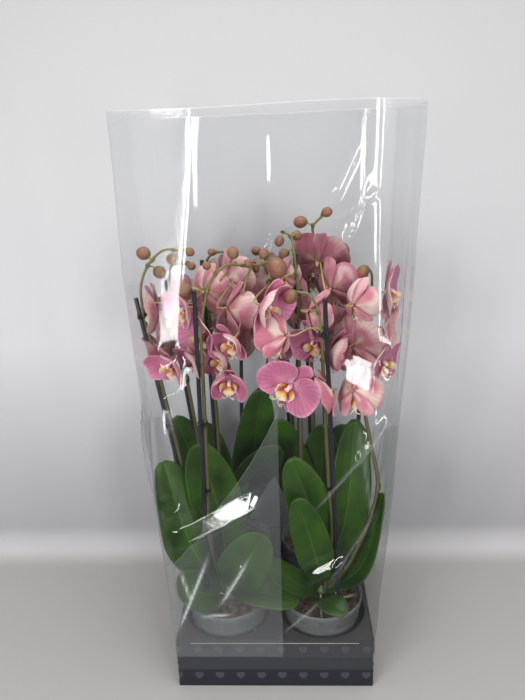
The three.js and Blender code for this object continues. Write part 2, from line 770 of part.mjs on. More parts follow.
const firmer = [...grownStakes, ...grownSkeletons, ...grownBlooms, ...grownCrowns, ...grownClips];
for (const [name, plant] of plants) {
  plant.leaves.forEach((leaf, i) => {
    const level = LEAF_TOP_LEVEL - LEAF_LEVEL_STEP * i;
    const body = leafBody(plant, leaf, level).intersect(room);
    addPiece(name + "_leaf_" + (i + 1), clearOf(body, firmer), "leaf");
    firmer.push(leafBody(plant, leaf, level, CUT_GROWTH));
  });
}

export default display;
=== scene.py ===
"""Four pink moth orchids in clear pots, in a printed card tray, wrapped in a tall clear film sleeve.

Every place and size is in millimetres in the tray's own frame: the origin is the middle of the tray's
underside, +Z is up and the front faces -Y. Each class builds one kind of piece and dresses it.
"""

import logging
import math
import random
from dataclasses import astuple, dataclass, field
from enum import Enum
from typing import Callable, Iterable, Protocol, Sequence

import bpy
from mathutils import Matrix, Vector

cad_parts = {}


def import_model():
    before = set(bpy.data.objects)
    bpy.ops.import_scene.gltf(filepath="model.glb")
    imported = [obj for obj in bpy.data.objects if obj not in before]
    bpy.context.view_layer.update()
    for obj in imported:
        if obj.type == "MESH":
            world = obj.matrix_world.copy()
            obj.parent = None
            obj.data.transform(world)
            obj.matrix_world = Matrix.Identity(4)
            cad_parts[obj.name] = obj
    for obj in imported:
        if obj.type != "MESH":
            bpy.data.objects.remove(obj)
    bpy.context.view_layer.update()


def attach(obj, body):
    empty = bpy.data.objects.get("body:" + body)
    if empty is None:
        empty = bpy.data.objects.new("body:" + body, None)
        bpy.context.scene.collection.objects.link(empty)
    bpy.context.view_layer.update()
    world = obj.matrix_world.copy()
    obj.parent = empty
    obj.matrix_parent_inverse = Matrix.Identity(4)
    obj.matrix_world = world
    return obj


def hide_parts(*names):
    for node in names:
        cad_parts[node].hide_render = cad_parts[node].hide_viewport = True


log = logging.getLogger("orchids")

MM = 0.001
Triple = tuple[float, float, float]
Place = Callable[[float, float], Vector]
Piece = bpy.types.Object
Material = bpy.types.Material
UP = Vector((0.0, 0.0, 1.0))


class Slot(str, Enum):
    """The record's material slots."""

    CARD = "printed_card"
    INNER_CARD = "inner_card"
    FILM = "sleeve_film"
    POT = "pot_plastic"
    BARK = "bark"
    GREEN = "plant_green"
    LEAF = "leaf"
    STAKE = "stake_plastic"
    CLIP = "clip_plastic"
    PETAL = "petal"


# Sizes that the pieces share

TRAY_SIDE = 280.0
TRAY_HEIGHT = 80.0
BOARD = 2.0
GAP = 0.3
POT_OFFSET = 70.0
BARK_TOP = 98.0
STAKE_RADIUS = 2.9
STAKE_FOOT = 20.0
STEM_RADIUS = 2.6
STEM_TO_STAKE = STAKE_RADIUS + STEM_RADIUS + 0.7
PEDICEL_RADIUS = 1.3


# The plants: where each leaf, stake, flower and bud is


@dataclass(frozen=True)
class Leaf:
    """A leaf: a point half way along, the tip, the width, and the way its upper face looks."""

    mid: Triple
    tip: Triple
    width: float
    face: Triple


@dataclass(frozen=True)
class Spike:
    """A flower stem on its stake.

    Args:
        side: the side of the stake that the stem lies on.
        clip: the height of the clip, or 0 for none.
        arch: the stem's route above the stake.
        buds: places and radii.
        blooms: places, then turn (0 faces the front, 90 the right), lift, roll in the flower's own
            plane, size, and how far the petals curl forwards in radians.
        route: the stem's way up where it leaves the stake's foot in an arc of its own.
    """

    side: tuple[float, float]
    clip: float
    arch: tuple[Triple, ...]
    buds: tuple[tuple[float, float, float, float], ...]
    blooms: tuple[tuple[float, float, float, float, float, float, float, float], ...]
    route: tuple[Triple, ...] = ()


@dataclass(frozen=True)
class Stake:
    """A support stake from its foot in the pot to its top, with the spike that is tied to it."""

    foot: tuple[float, float]
    top: Triple
    spike: Spike | None = None


@dataclass(frozen=True)
class Plant:
    """One potted plant."""

    name: str
    x: float
    y: float
    leaves: tuple[Leaf, ...]
    stakes: tuple[Stake, ...]


PLANTS = (
    Plant(
        "front_left", -POT_OFFSET, -POT_OFFSET,
        (
            Leaf((-112, -92, 190), (-150, -78, 332), 76, (0.6, -0.8, 0.1)),
            Leaf((-46, -116, 178), (-10, -126, 246), 70, (-0.1, -1, 0.3)),
            Leaf((-18, -104, 134), (36, -112, 124), 46, (0, -0.35, 1)),
            Leaf((-74, -68, 232), (-100, -72, 356), 76, (0.2, -1, 0)),
            Leaf((-104, -112, 138), (-132, -122, 178), 54, (0.3, -0.6, 0.8)),
        ),
        (
            Stake((-86, -60), (-171, -56, 560), Spike(
                (1, -0.3), 536,
                ((-163, -55, 575), (-152, -50, 602), (-131, -46, 620), (-106, -42, 618)),
                ((-158, -44, 616, 8.5), (-141, -38, 590, 8), (-124, -36, 607, 6.5), (-99, -40, 616, 6)),
                ((-145, -46, 538, -75, 0, 0, 0.95, 0.7), (-147, -40, 482, -68, -15, 10, 0.85, 0.85),
                 (-125, -84, 478, -35, -20, 0, 0.9, 0.9), (-99, -92, 554, -50, -5, -10, 0.85, 0.9)),
            )),
            Stake((-98, -88), (-85, -116, 582), Spike(
                (1, 0.5), 402,
                ((-75, -108, 562), (-66, -100, 590), (-48, -86, 606), (-30, -74, 604)),
                ((-99, -104, 580, 9.5), (-71, -92, 607, 5), (-40, -72, 618, 8), (-22, -68, 604, 6)),
                ((-82, -84, 518, -42, -8, 12, 0.95, 0.75), (-90, -84, 485, -60, -20, -15, 0.85, 0.9),
                 (-79, -64, 569, 150, 0, 15, 0.95, 0.9)),
            )),
        ),
    ),
    Plant(
        "back_left", -POT_OFFSET, POT_OFFSET,
        (
            Leaf((-118, 62, 220), (-154, 52, 340), 70, (0.6, -0.8, 0)),
            Leaf((-38, 44, 250), (-14, 28, 396), 62, (0, -1, 0)),
            Leaf((-96, 104, 190), (-118, 118, 300), 70, (0.2, 1, 0.2)),
            Leaf((-46, 36, 226), (8, -14, 322), 66, (0.4, -1, 0.2)),
        ),
        (
            Stake((-100, 82), (-151, 52, 559), Spike(
                (1, -0.6), 0,
                ((-142, 40, 572), (-132, 22, 588), (-112, 6, 592)),
                ((-104, 0, 590, 6), (-128, 32, 598, 6)),
                ((-122, -8, 518, -35, -5, 0, 0.95, 0.8), (-140, 6, 482, -72, -10, 10, 0.95, 0.8),
                 (-124, 88, 520, -160, -5, 0, 0.95, 0.9), (-139, 70, 471, -125, -10, 0, 0.95, 0.9)),
            )),
            Stake((-88, 50), (-93, 30, 592), Spike(
                (1, -0.4), 572,
                ((-80, 5, 600), (-58, -24, 612), (-38, -42, 604), (-14, -58, 600), (6, -66, 606)),
                ((-73, -12, 610, 5), (-22, -40, 592, 8), (-14, -46, 594, 6), (-2, -56, 613, 6.5),
                 (14, -72, 600, 11.5)),
                ((-52, -58, 583, 138, 0, -12, 0.95, 1), (-50, -70, 548, 122, -10, 15, 1, 0.9),
                 (-44, -98, 513, -28, -18, 10, 0.85, 1.05), (-48, -110, 464, -6, -18, -6, 0.9, 1.2),
                 (-59, -88, 487, -38, -12, 8, 0.8, 1), (-29, -22, 509, -140, -20, -20, 1, 0.9),
                 (-30, 10, 543, 150, -5, 10, 0.95, 0.8), (-66, 92, 548, 178, -5, 0, 0.95, 0.8),
                 (-76, 86, 501, -170, -10, 0, 0.95, 0.8)),
            )),
            Stake((-62, 94), (-42, 62, 540)),
        ),
    ),
    Plant(
        "back_right", POT_OFFSET, POT_OFFSET,
        (
            Leaf((34, 36, 240), (10, 12, 352), 62, (0, -1, 0)),
            Leaf((78, 36, 226), (76, 18, 340), 62, (-0.2, -1, 0)),
            Leaf((114, 52, 216), (128, 36, 335), 66, (0.3, -1, 0)),
            Leaf((92, 112, 190), (118, 120, 292), 70, (-0.2, 1, 0.2)),
        ),
        (
            Stake((66, 56), (51, 35, 607), Spike(
                (1, -0.3), 566,
                ((60, 24, 592), (67, 16, 612), (63, 18, 636), (76, 20, 650)),
                ((47, 20, 643, 8.5), (82, 20, 655, 6.5), (100, 8, 606, 11)),
                ((69, -14, 594, 168, 20, 10, 0.95, 0.7), (84, -50, 566, 152, 5, -12, 1, 1),
                 (66, 82, 556, 175, -5, 0, 0.95, 0.8), (103, 80, 508, 150, -10, 0, 0.95, 0.8),
                 (101, -34, 493, 170, -5, 20, 1.05, 0.7)),
            )),
            Stake((44, 80), (12, 50, 563), Spike(
                (1, -0.2), 0,
                ((10, 30, 580), (4, 5, 594), (4, -28, 588), (4, -50, 576)),
                ((-14, 12, 606, 6),),
                ((-2, -98, 557, 56, -10, -8, 1.05, 0.9), (4, -52, 481, 60, -15, 10, 0.9, 0.9),
                 (26, -30, 546, 120, -5, 0, 0.9, 0.8), (3, 90, 548, 180, -5, 0, 0.95, 0.8),
                 (20, 102, 501, 168, -10, 0, 0.95, 0.8), (-22, 94, 458, -165, -15, 0, 0.95, 0.8)),
            )),
            Stake((92, 90), (76, 66, 563)),
        ),
    ),
    Plant(
        "front_right", POT_OFFSET, -POT_OFFSET,
        (
            Leaf((62, -92, 230), (28, -98, 346), 64, (0.2, -1, 0)),
            Leaf((58, -112, 196), (35, -120, 298), 52, (0.1, -1, 0.1)),
            Leaf((104, -80, 238), (116, -60, 384), 62, (0.3, -1, 0)),
            Leaf((124, -84, 162), (156, -82, 280), 58, (-1, -0.2, 0.4)),
            Leaf((26, -98, 152), (-14, -108, 190), 40, (0, -0.5, 0.9)),
            Leaf((82, -112, 124), (100, -132, 120), 40, (0, -0.3, 1)),
        ),
        (
            Stake((44, -50), (38, -45, 611), Spike(
                (0.3, -1), 562,
                ((36, -48, 616), (33, -40, 632), (24, -32, 638)),
                ((18, -32, 626, 6), (40, -30, 632, 6.5), (24, -36, 610, 6.5)),
                ((24, -52, 584, 160, 0, 0, 0.7, 1.2), (29, -116, 458, -22, -10, -42, 1.05, 0.6),
                 (63, -70, 501, -40, -10, 15, 0.9, 0.9)),
            )),
            Stake((98, -84), (72, -112, 567), Spike(
                (-1, 0.2), 522,
                ((62, -106, 558), (52, -104, 572), (40, -102, 574)),
                ((31, -102, 569, 9),),
                ((24, -112, 522, -128, -12, 20, 1.05, 1.1), (54, -78, 542, 98, -12, 30, 0.95, 0.9),
                 (81, -80, 489, 70, -10, -10, 0.9, 0.9), (83, -96, 442, -80, -15, 0, 0.95, 0.9)),
            )),
            Stake((108, -60), (131, -36, 566), Spike(
                (1, 0.1), 0,
                ((138, -36, 562), (137, -36, 582), (131, -37, 590)),
                ((126, -38, 584, 9),),
                ((109, -92, 554, 132, 4, 15, 1, 1.1), (155, -50, 559, 72, 0, -8, 1, 0.65),
                 (111, -62, 491, 150, -8, -15, 1, 0.8), (153, -56, 513, 82, -10, 0, 0.9, 0.8),
                 (147, -74, 472, 48, -12, 8, 0.95, 0.8), (109, -106, 444, 140, -30, -10, 1, 0.9)),
                route=((112, -82, 172), (148, -74, 284), (139, -58, 345)),
            )),
        ),
    ),
)


# Small mathematics


def smooth(share: float) -> float:
    """A soft step from 0 to 1 as share goes from 0 to 1."""
    held = min(max(share, 0.0), 1.0)
    return held * held * (3 - 2 * held)


def blend(low: float, high: float, share: float) -> float:
    """The number that lies share of the way from low to high."""
    return low + (high - low) * share


def bell(distance: float, width: float) -> float:
    """A soft bump of height 1 that falls away over width."""
    return math.exp(-((distance / width) ** 2))


class Route:
    """A smooth line through a few points, read by its share of the length.

    Args:
        points: the points that the line passes, two or more.
        steps: how many short stretches each span is measured in.
    """

    def __init__(self, points: Iterable[Sequence[float]], steps: int = 14) -> None:
        """Measures the line once."""
        knots = [Vector(point) for point in points]
        knots = [2 * knots[0] - knots[1], *knots, 2 * knots[-1] - knots[-2]]
        self.line = [knots[1]]
        for span in range(len(knots) - 3):
            four = knots[span:span + 4]
            self.line += [self._between(four, (step + 1) / steps) for step in range(steps)]
        self.reach = [0.0]
        for start, end in zip(self.line, self.line[1:]):
            self.reach.append(self.reach[-1] + (end - start).length)

    @staticmethod
    def _between(four: Sequence[Vector], share: float) -> Vector:
        """The centripetal Catmull-Rom point between the middle two of four knots."""
        before, start, end, after = four
        gaps = [max((b - a).length ** 0.5, 1e-3) for a, b in zip(four, four[1:])]
        leave = (start - before) / gaps[0] - (end - before) / (gaps[0] + gaps[1]) + (end - start) / gaps[1]
        arrive = (end - start) / gaps[1] - (after - start) / (gaps[1] + gaps[2]) + (after - end) / gaps[2]
        leave, arrive = leave * gaps[1], arrive * gaps[1]
        square, cube = share * share, share ** 3
        return (
            start * (2 * cube - 3 * square + 1) + leave * (cube - 2 * square + share)
            + end * (3 * square - 2 * cube) + arrive * (cube - square)
        )

    @property
    def length(self) -> float:
        """The line's whole length."""
        return self.reach[-1]

    def at(self, share: float) -> Vector:
        """The point at that share of the length."""
        wanted = min(max(share, 0.0), 1.0) * self.length
        index = next(i for i, reach in enumerate(self.reach[1:]) if reach >= wanted - 1e-9)
        span = self.reach[index + 1] - self.reach[index]
        return self.line[index].lerp(self.line[index + 1], (wanted - self.reach[index]) / span)

    def heading(self, share: float) -> Vector:
        """The line's direction at that share of the length."""
        step = 0.01
        return (self.at(min(share + step, 1.0)) - self.at(max(share - step, 0.0))).normalized()

    def nearest(self, target: Vector, first: float, count: int = 60) -> float:
        """The share, from first to 1, at which the line passes closest to a target."""
        shares = [blend(first, 1.0, i / count) for i in range(count + 1)]
        return min(shares, key=lambda share: (self.at(share) - target).length)


# Modelling steps


class Bench:
    """The modelling steps that the pieces share, each done with Blender's own operators."""

    @staticmethod
    def pick(*pieces: Piece) -> None:
        """Selects these pieces and nothing else, the first as the active one."""
        bpy.ops.object.select_all(action="DESELECT")
        for piece in pieces:
            piece.select_set(True)
        bpy.context.view_layer.objects.active = pieces[0]

    @staticmethod
    def start(name: str, primitive: Callable[..., set[str]], **sizes: object) -> Piece:
        """Adds a primitive with nothing else selected, and settles its place into its mesh.

        Args:
            name: the piece's name.
            primitive: the operator that adds it.
            **sizes: the operator's own values, in metres.

        Returns:
            The mesh object.
        """
        bpy.ops.object.select_all(action="DESELECT")
        primitive(**sizes)
        piece = bpy.context.object
        piece.name = name
        bpy.ops.object.transform_apply(location=True, rotation=True, scale=True)
        return piece

    @staticmethod
    def open_whole(piece: Piece) -> None:
        """Goes into edit mode with the whole piece selected."""
        Bench.pick(piece)
        bpy.ops.object.mode_set(mode="EDIT")
        bpy.ops.mesh.select_all(action="SELECT")

    @staticmethod
    def choose(piece: Piece, mode: str, test: Callable[[Vector, Vector], bool]) -> None:
        """Goes into edit mode with only those faces or edges selected that pass a test.

        Args:
            piece: the mesh to edit.
            mode: FACE or EDGE.
            test: takes a centre and a direction, both in metres: a face's normal, or an edge's line.
        """
        Bench.pick(piece)
        bpy.ops.object.mode_set(mode="EDIT")
        bpy.ops.mesh.select_mode(type=mode)
        bpy.ops.mesh.select_all(action="DESELECT")
        bpy.ops.object.mode_set(mode="OBJECT")
        mesh = piece.data
        if mode == "FACE":
            for polygon in mesh.polygons:
                polygon.select = test(polygon.center, polygon.normal)
        else:
            for edge in mesh.edges:
                start, end = (mesh.vertices[i].co for i in edge.vertices)
                edge.select = test((start + end) / 2, (end - start).normalized())
        bpy.ops.object.mode_set(mode="EDIT")

    @staticmethod
    def done() -> None:
        """Leaves edit mode."""
        bpy.ops.object.mode_set(mode="OBJECT")

    @staticmethod
    def surface(name: str, columns: int, rows: int, place: Place) -> Piece:
        """A grid laid along a curved surface.

        Args:
            name: the piece's name.
            columns: faces across.
            rows: faces along.
            place: gives the point, in millimetres, for a share across and a share along.

        Returns:
            The mesh object, with the grid's own UV map.
        """
        grid = bpy.ops.mesh.primitive_grid_add
        piece = Bench.start(name, grid, x_subdivisions=columns, y_subdivisions=rows, size=2)
        for vertex in piece.data.vertices:
            vertex.co = place((vertex.co.x + 1) / 2, (vertex.co.y + 1) / 2) * MM
        return piece

    @staticmethod
    def close(piece: Piece) -> None:
        """Merges vertices that meet and turns the faces outwards."""
        Bench.open_whole(piece)
        bpy.ops.mesh.remove_doubles(threshold=1e-5)
        bpy.ops.mesh.normals_make_consistent(inside=False)
        Bench.done()

    @staticmethod
    def face(piece: Piece, way: Vector) -> None:
        """Turns an open surface round if its faces look away from a direction."""
        looking = sum((polygon.normal * polygon.area for polygon in piece.data.polygons), Vector())
        if looking.dot(way) < 0:
            Bench.open_whole(piece)
            bpy.ops.mesh.flip_normals()
            Bench.done()

    @staticmethod
    def tube(name: str, route: Route, radius: Callable[[float], float], sides: int, rows: int) -> Piece:
        """A round stem along a route, closed at both ends.

        Args:
            name: the piece's name.
            route: the middle line.
            radius: gives the radius for a share of the length.
            sides: faces round.
            rows: faces along.

        Returns:
            The closed tube. Its UV map runs round it and along it.
        """
        ends = 2
        rings: list[tuple[Vector, Vector, Vector, float]] = []
        across = route.heading(0).orthogonal()
        for row in range(rows + 1 + ends):
            share = min(max((row - 1) / rows, 0.0), 1.0)
            heading = route.heading(share)
            across = (across - heading * across.dot(heading)).normalized()
            size = 0.0 if row in (0, rows + ends) else radius(share)
            rings.append((route.at(share), across.copy(), heading.cross(across), size))

        def place(u: float, v: float) -> Vector:
            """A point on the ring nearest to a share of the length."""
            middle, side, up, size = rings[round(v * (rows + ends))]
            angle = 2 * math.pi * round(u * sides) / sides
            return middle + (side * math.cos(angle) + up * math.sin(angle)) * size

        piece = Bench.surface(name, sides, rows + ends, place)
        Bench.close(piece)
        Bench.smooth(piece)
        return piece

    @staticmethod
    def smooth(piece: Piece, angle: float = 180.0) -> None:
        """Shades a piece smooth, apart from edges sharper than an angle in degrees."""
        Bench.pick(piece)
        if angle >= 180:
            bpy.ops.object.shade_smooth()
        else:
            bpy.ops.object.shade_smooth_by_angle(angle=math.radians(angle))

    @staticmethod
    def modify(piece: Piece, kind: str, **settings: object) -> None:
        """Adds a modifier and applies it.

        Args:
            piece: the mesh to change.
            kind: the modifier's type.
            **settings: the modifier's own values.
        """
        modifier = piece.modifiers.new(kind.title(), kind)
        for key, value in settings.items():
            setattr(modifier, key, value)
        Bench.pick(piece)
        bpy.ops.object.modifier_apply(modifier=modifier.name)

    @staticmethod
    def thicken(sheet: Piece, thickness: float) -> None:
        """Gives a sheet its thickness, in millimetres, and its back and rim their own finish."""
        Bench.modify(
            sheet, "SOLIDIFY", thickness=thickness * MM, offset=0, material_offset=1, material_offset_rim=1,
        )

    @staticmethod
    def joined(name: str, pieces: Sequence[Piece]) -> Piece:
        """Joins pieces into the first and names it."""
        Bench.pick(*pieces)
        if len(pieces) > 1:
            bpy.ops.object.join()
        pieces[0].name = name
        return pieces[0]

    @staticmethod
    def copy(pattern: Piece, matrix: Matrix) -> Piece:
        """A copy with its own mesh, put in place by a matrix in metres."""
        piece = pattern.copy()
        piece.data = pattern.data.copy()
        piece.data.transform(matrix)
        bpy.context.scene.collection.objects.link(piece)
        return piece

    @staticmethod
    def mark(piece: Piece, attribute: str, value: float) -> None:
        """Gives every vertex of a piece the same number, for its finish to read."""
        layers = piece.data.attributes
        layer = layers.get(attribute) or layers.new(attribute, "FLOAT", "POINT")
        layer.data.foreach_set("value", [value] * len(piece.data.vertices))

    @staticmethod
    def dress(piece: Piece, *finishes: Material) -> None:
        """Gives a piece its finishes, in the order of its material indices."""
        piece.data.materials.clear()
        for finish in finishes:
            piece.data.materials.append(finish)

    @staticmethod
    def hand_in(piece: Piece, slot: Slot, *stands_for: str) -> None:
        """Declares a finished piece to the frame and logs it.

        Args:
            piece: the finished piece.
            slot: not used.
            *stands_for: the frame's nodes that this piece replaces.
        """
        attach(piece, "root")
        if stands_for:
            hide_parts(*stands_for)
        log.info("%s: %d faces", piece.name, len(piece.data.polygons))

    @staticmethod
    def complete(piece: Piece, angle: float, finish: Material, slot: Slot, *stands_for: str) -> None:
        """Shades, dresses and hands in a piece.

        Args:
            piece: the piece, with its shape done.
            angle: edges up to this angle, in degrees, are shaded smooth.
            finish: its material.
            slot: passed on to hand_in, which does not use it.
            stands_for: the CAD nodes that it replaces.
        """
        Bench.smooth(piece, angle)
        Bench.dress(piece, finish)
        Bench.hand_in(piece, slot, *stands_for)


def placed(right: Vector, up: Vector, out: Vector, place: Sequence[float], size: float = 1.0) -> Matrix:
    """The matrix that stands a pattern at a place.

    Args:
        right: where the pattern's X goes.
        up: where its Y goes.
        out: where its Z goes.
        place: the new origin, in millimetres.
        size: the scale.

    Returns:
        The matrix, in metres.
    """
    turn = Matrix((right, up, out)).transposed().to_4x4()
    return Matrix.Translation(Vector(place) * MM) @ turn @ Matrix.Scale(size, 4)


# Finishes


Colour = tuple[float, float, float, float]


def rgb(red: float, green: float, blue: float) -> Colour:
    """An opaque colour."""
    return (red, green, blue, 1.0)


class Recipe:
    """The node tree of one finish, with short ways to add what the finishes use."""

    def __init__(self, name: str) -> None:
        """Starts an empty tree with its output."""
        self.material = bpy.data.materials.new(name)
        self.material.use_nodes = True
        self.tree = self.material.node_tree
        self.tree.nodes.clear()
        self.output = self.tree.nodes.new("ShaderNodeOutputMaterial")
        coordinates = self.tree.nodes.new("ShaderNodeTexCoord")
        self.place = coordinates.outputs["Object"]
        self.uv = coordinates.outputs["UV"]

    def add(self, kind: str, sockets: dict | None = None, **properties: object) -> bpy.types.Node:
        """Adds a node.

        Args:
            kind: the node's type without its ShaderNode prefix.
            sockets: values or links for its inputs, by name or index.
            **properties: the node's own settings.

        Returns:
            The node.
        """
        node = self.tree.nodes.new("ShaderNode" + kind)
        for key, value in properties.items():
            setattr(node, key, value)
        for key, value in (sockets or {}).items():
            if isinstance(value, bpy.types.NodeSocket):
                self.tree.links.new(value, node.inputs[key])
            else:
                node.inputs[key].default_value = value
        return node

    def math(self, operation: str, first: object, second: object = 0.0, clamp: bool = False) -> object:
        """One step of arithmetic on two numbers."""
        node = self.add("Math", {0: first, 1: second}, operation=operation, use_clamp=clamp)
        return node.outputs[0]

    def noise(
        self, scale: float, detail: float = 2.0, place: object = None, stretch: Triple = (1, 1, 1),
    ) -> object:
        """Soft noise from 0 to 1.

        Args:
            scale: features a metre, or along the UV map.
            detail: how many finer layers it has.
            place: the coordinates it reads, the object's own if not given.
            stretch: how much denser it is along each axis.

        Returns:
            The noise as a number.
        """
        spread = self.add("Mapping", {"Vector": place or self.place, "Scale": stretch})
        sockets = {"Vector": spread.outputs[0], "Scale": scale, "Detail": detail}
        return self.add("TexNoise", sockets).outputs["Fac"]

    def ramp(self, factor: object, *stops: tuple[float, Colour]) -> object:
        """Colours along a number, as stops of place and colour."""
        node = self.add("ValToRGB", {0: factor})
        elements = node.color_ramp.elements
        while len(elements) < len(stops):
            elements.new(0.5)
        for element, (place, colour) in zip(elements, stops):
            element.position = place
            element.color = colour
        return node.outputs[0]

    def mask(self, factor: object, dark: float, light: float) -> object:
        """0 where a number is at dark, 1 where it is at light, and a straight rise between."""
        low, high = sorted((dark, light))
        ends = (rgb(0, 0, 0), rgb(1, 1, 1)) if light > dark else (rgb(1, 1, 1), rgb(0, 0, 0))
        return self.ramp(factor, (low, ends[0]), (high, ends[1]))

    def mix(self, factor: object, first: object, second: object) -> object:
        """A colour between two."""
        node = self.add("Mix", {0: factor, 6: first, 7: second}, data_type="RGBA")
        return node.outputs[2]

    def axes(self, vector: object) -> tuple[object, object, object]:
        """The three numbers of a vector."""
        node = self.add("SeparateXYZ", {0: vector})
        return tuple(node.outputs)

    def read(self, attribute: str) -> object:
        """A number that the mesh carries."""
        return self.add("Attribute", attribute_name=attribute).outputs["Fac"]

    def bump(self, height: object, distance: float, strength: float = 1.0) -> object:
        """Relief from a height, as deep as distance in metres."""
        sockets = {"Height": height, "Distance": distance, "Strength": strength}
        return self.add("Bump", sockets).outputs[0]

    def surface(self, **sockets: object) -> object:
        """The principled shader, its inputs given by name with _ for a space."""
        named = {key.replace("_", " "): value for key, value in sockets.items()}
        return self.add("BsdfPrincipled", named).outputs[0]

    def finished(self, shader: object) -> Material:
        """Ends the tree with its shader."""
        self.tree.links.new(shader, self.output.inputs[0])
        return self.material


@dataclass(frozen=True)
class CardPrint:
    """Matt printed card: two dark bands with rows of small hearts, a plain band and a thin gold line."""

    ink: Colour = rgb(0.016, 0.017, 0.023)
    upper_band: Colour = rgb(0.030, 0.031, 0.036)
    plain_band: Colour = rgb(0.034, 0.037, 0.042)
    heart: Colour = rgb(0.052, 0.055, 0.064)
    gold: Colour = rgb(0.50, 0.45, 0.33)
    worn: Colour = rgb(0.30, 0.28, 0.26)
    band_edges: tuple[float, float] = (30.0, 53.0)
    heart_rows: tuple[float, float] = (18.5, 64.0)
    heart_step: float = 30.0
    heart_half: float = 5.4
    line_height: float = 76.5
    line_half_width: float = 119.0
    line_half_depth: float = 0.45
    roughness: float = 0.55

    def hearts(self, recipe: Recipe, along: object, height: object, row: float) -> object:
        """1 inside the hearts of one row, and 0 elsewhere."""
        shifted = recipe.math("ADD", along, (TRAY_SIDE + self.heart_step) / 2 * MM)
        local = recipe.math("WRAP", shifted, 0.0)
        local.node.inputs[1].default_value = self.heart_step * MM
        local.node.inputs[2].default_value = 0.0
        half = self.heart_half * MM
        x = recipe.math("DIVIDE", recipe.math("SUBTRACT", local, self.heart_step / 2 * MM), half)
        y = recipe.math("DIVIDE", recipe.math("SUBTRACT", height, row * MM), half)
        x2, y2 = recipe.math("MULTIPLY", x, x), recipe.math("MULTIPLY", y, y)
        body = recipe.math("SUBTRACT", recipe.math("ADD", x2, y2), 1.0)
        lobes = recipe.math("MULTIPLY", x2, recipe.math("MULTIPLY", y2, y))
        cubed = recipe.math("MULTIPLY", body, recipe.math("MULTIPLY", body, body))
        return recipe.math("LESS_THAN", recipe.math("SUBTRACT", cubed, lobes), 0.0)

    def build(self) -> Material:
        """Makes the material."""
        recipe = Recipe("printed_card_finish")
        x, y, z = recipe.axes(recipe.place)
        on_side = recipe.math("GREATER_THAN", recipe.math("ABSOLUTE", x), (TRAY_SIDE / 2 - 0.3) * MM)
        along = recipe.add("Mix", {0: on_side, 2: x, 3: y}).outputs[0]
        low, high = (edge * MM for edge in self.band_edges)
        colour = recipe.mix(recipe.math("GREATER_THAN", z, low), self.ink, self.plain_band)
        colour = recipe.mix(recipe.math("GREATER_THAN", z, high), colour, self.upper_band)
        for row in self.heart_rows:
            colour = recipe.mix(self.hearts(recipe, along, z, row), colour, self.heart)
        above = recipe.math("ABSOLUTE", recipe.math("SUBTRACT", z, self.line_height * MM))
        on_line = recipe.math("LESS_THAN", above, self.line_half_depth * MM)
        within = recipe.math("LESS_THAN", recipe.math("ABSOLUTE", along), self.line_half_width * MM)
        colour = recipe.mix(recipe.math("MULTIPLY", on_line, within), colour, self.gold)
        outermost = recipe.math("MINIMUM", recipe.math("ABSOLUTE", x), recipe.math("ABSOLUTE", y))
        corner = recipe.math("GREATER_THAN", outermost, (TRAY_SIDE / 2 - 1.0) * MM)
        scuffed = recipe.math("GREATER_THAN", recipe.noise(160, 4), 0.56)
        colour = recipe.mix(recipe.math("MULTIPLY", corner, scuffed), colour, self.worn)
        fibres = recipe.noise(900, 3)
        shader = recipe.surface(
            Base_Color=recipe.mix(recipe.math("MULTIPLY", fibres, 0.16), colour, self.heart),
            Roughness=self.roughness, Specular_IOR_Level=0.18, Normal=recipe.bump(fibres, 0.0001, 0.4),
        )
        return recipe.finished(shader)


@dataclass(frozen=True)
class DarkCard:
    """Matt dark inner card with visible fibres."""

    # The board colour is the card's own dark grey, darkened further as painted shade from the leaves and
    # film above the deck.
    board: Colour = rgb(0.020, 0.020, 0.023)
    fibre: Colour = rgb(0.042, 0.041, 0.043)
    roughness: float = 0.8

    def build(self) -> Material:
        """Makes the material."""
        recipe = Recipe("inner_card_finish")
        fibres = recipe.noise(420, 6, stretch=(1, 3, 1))
        shader = recipe.surface(
            Base_Color=recipe.ramp(fibres, (0.35, self.board), (0.75, self.fibre)),
            Roughness=self.roughness, Normal=recipe.bump(fibres, 0.0002, 0.5),
        )
        return recipe.finished(shader)


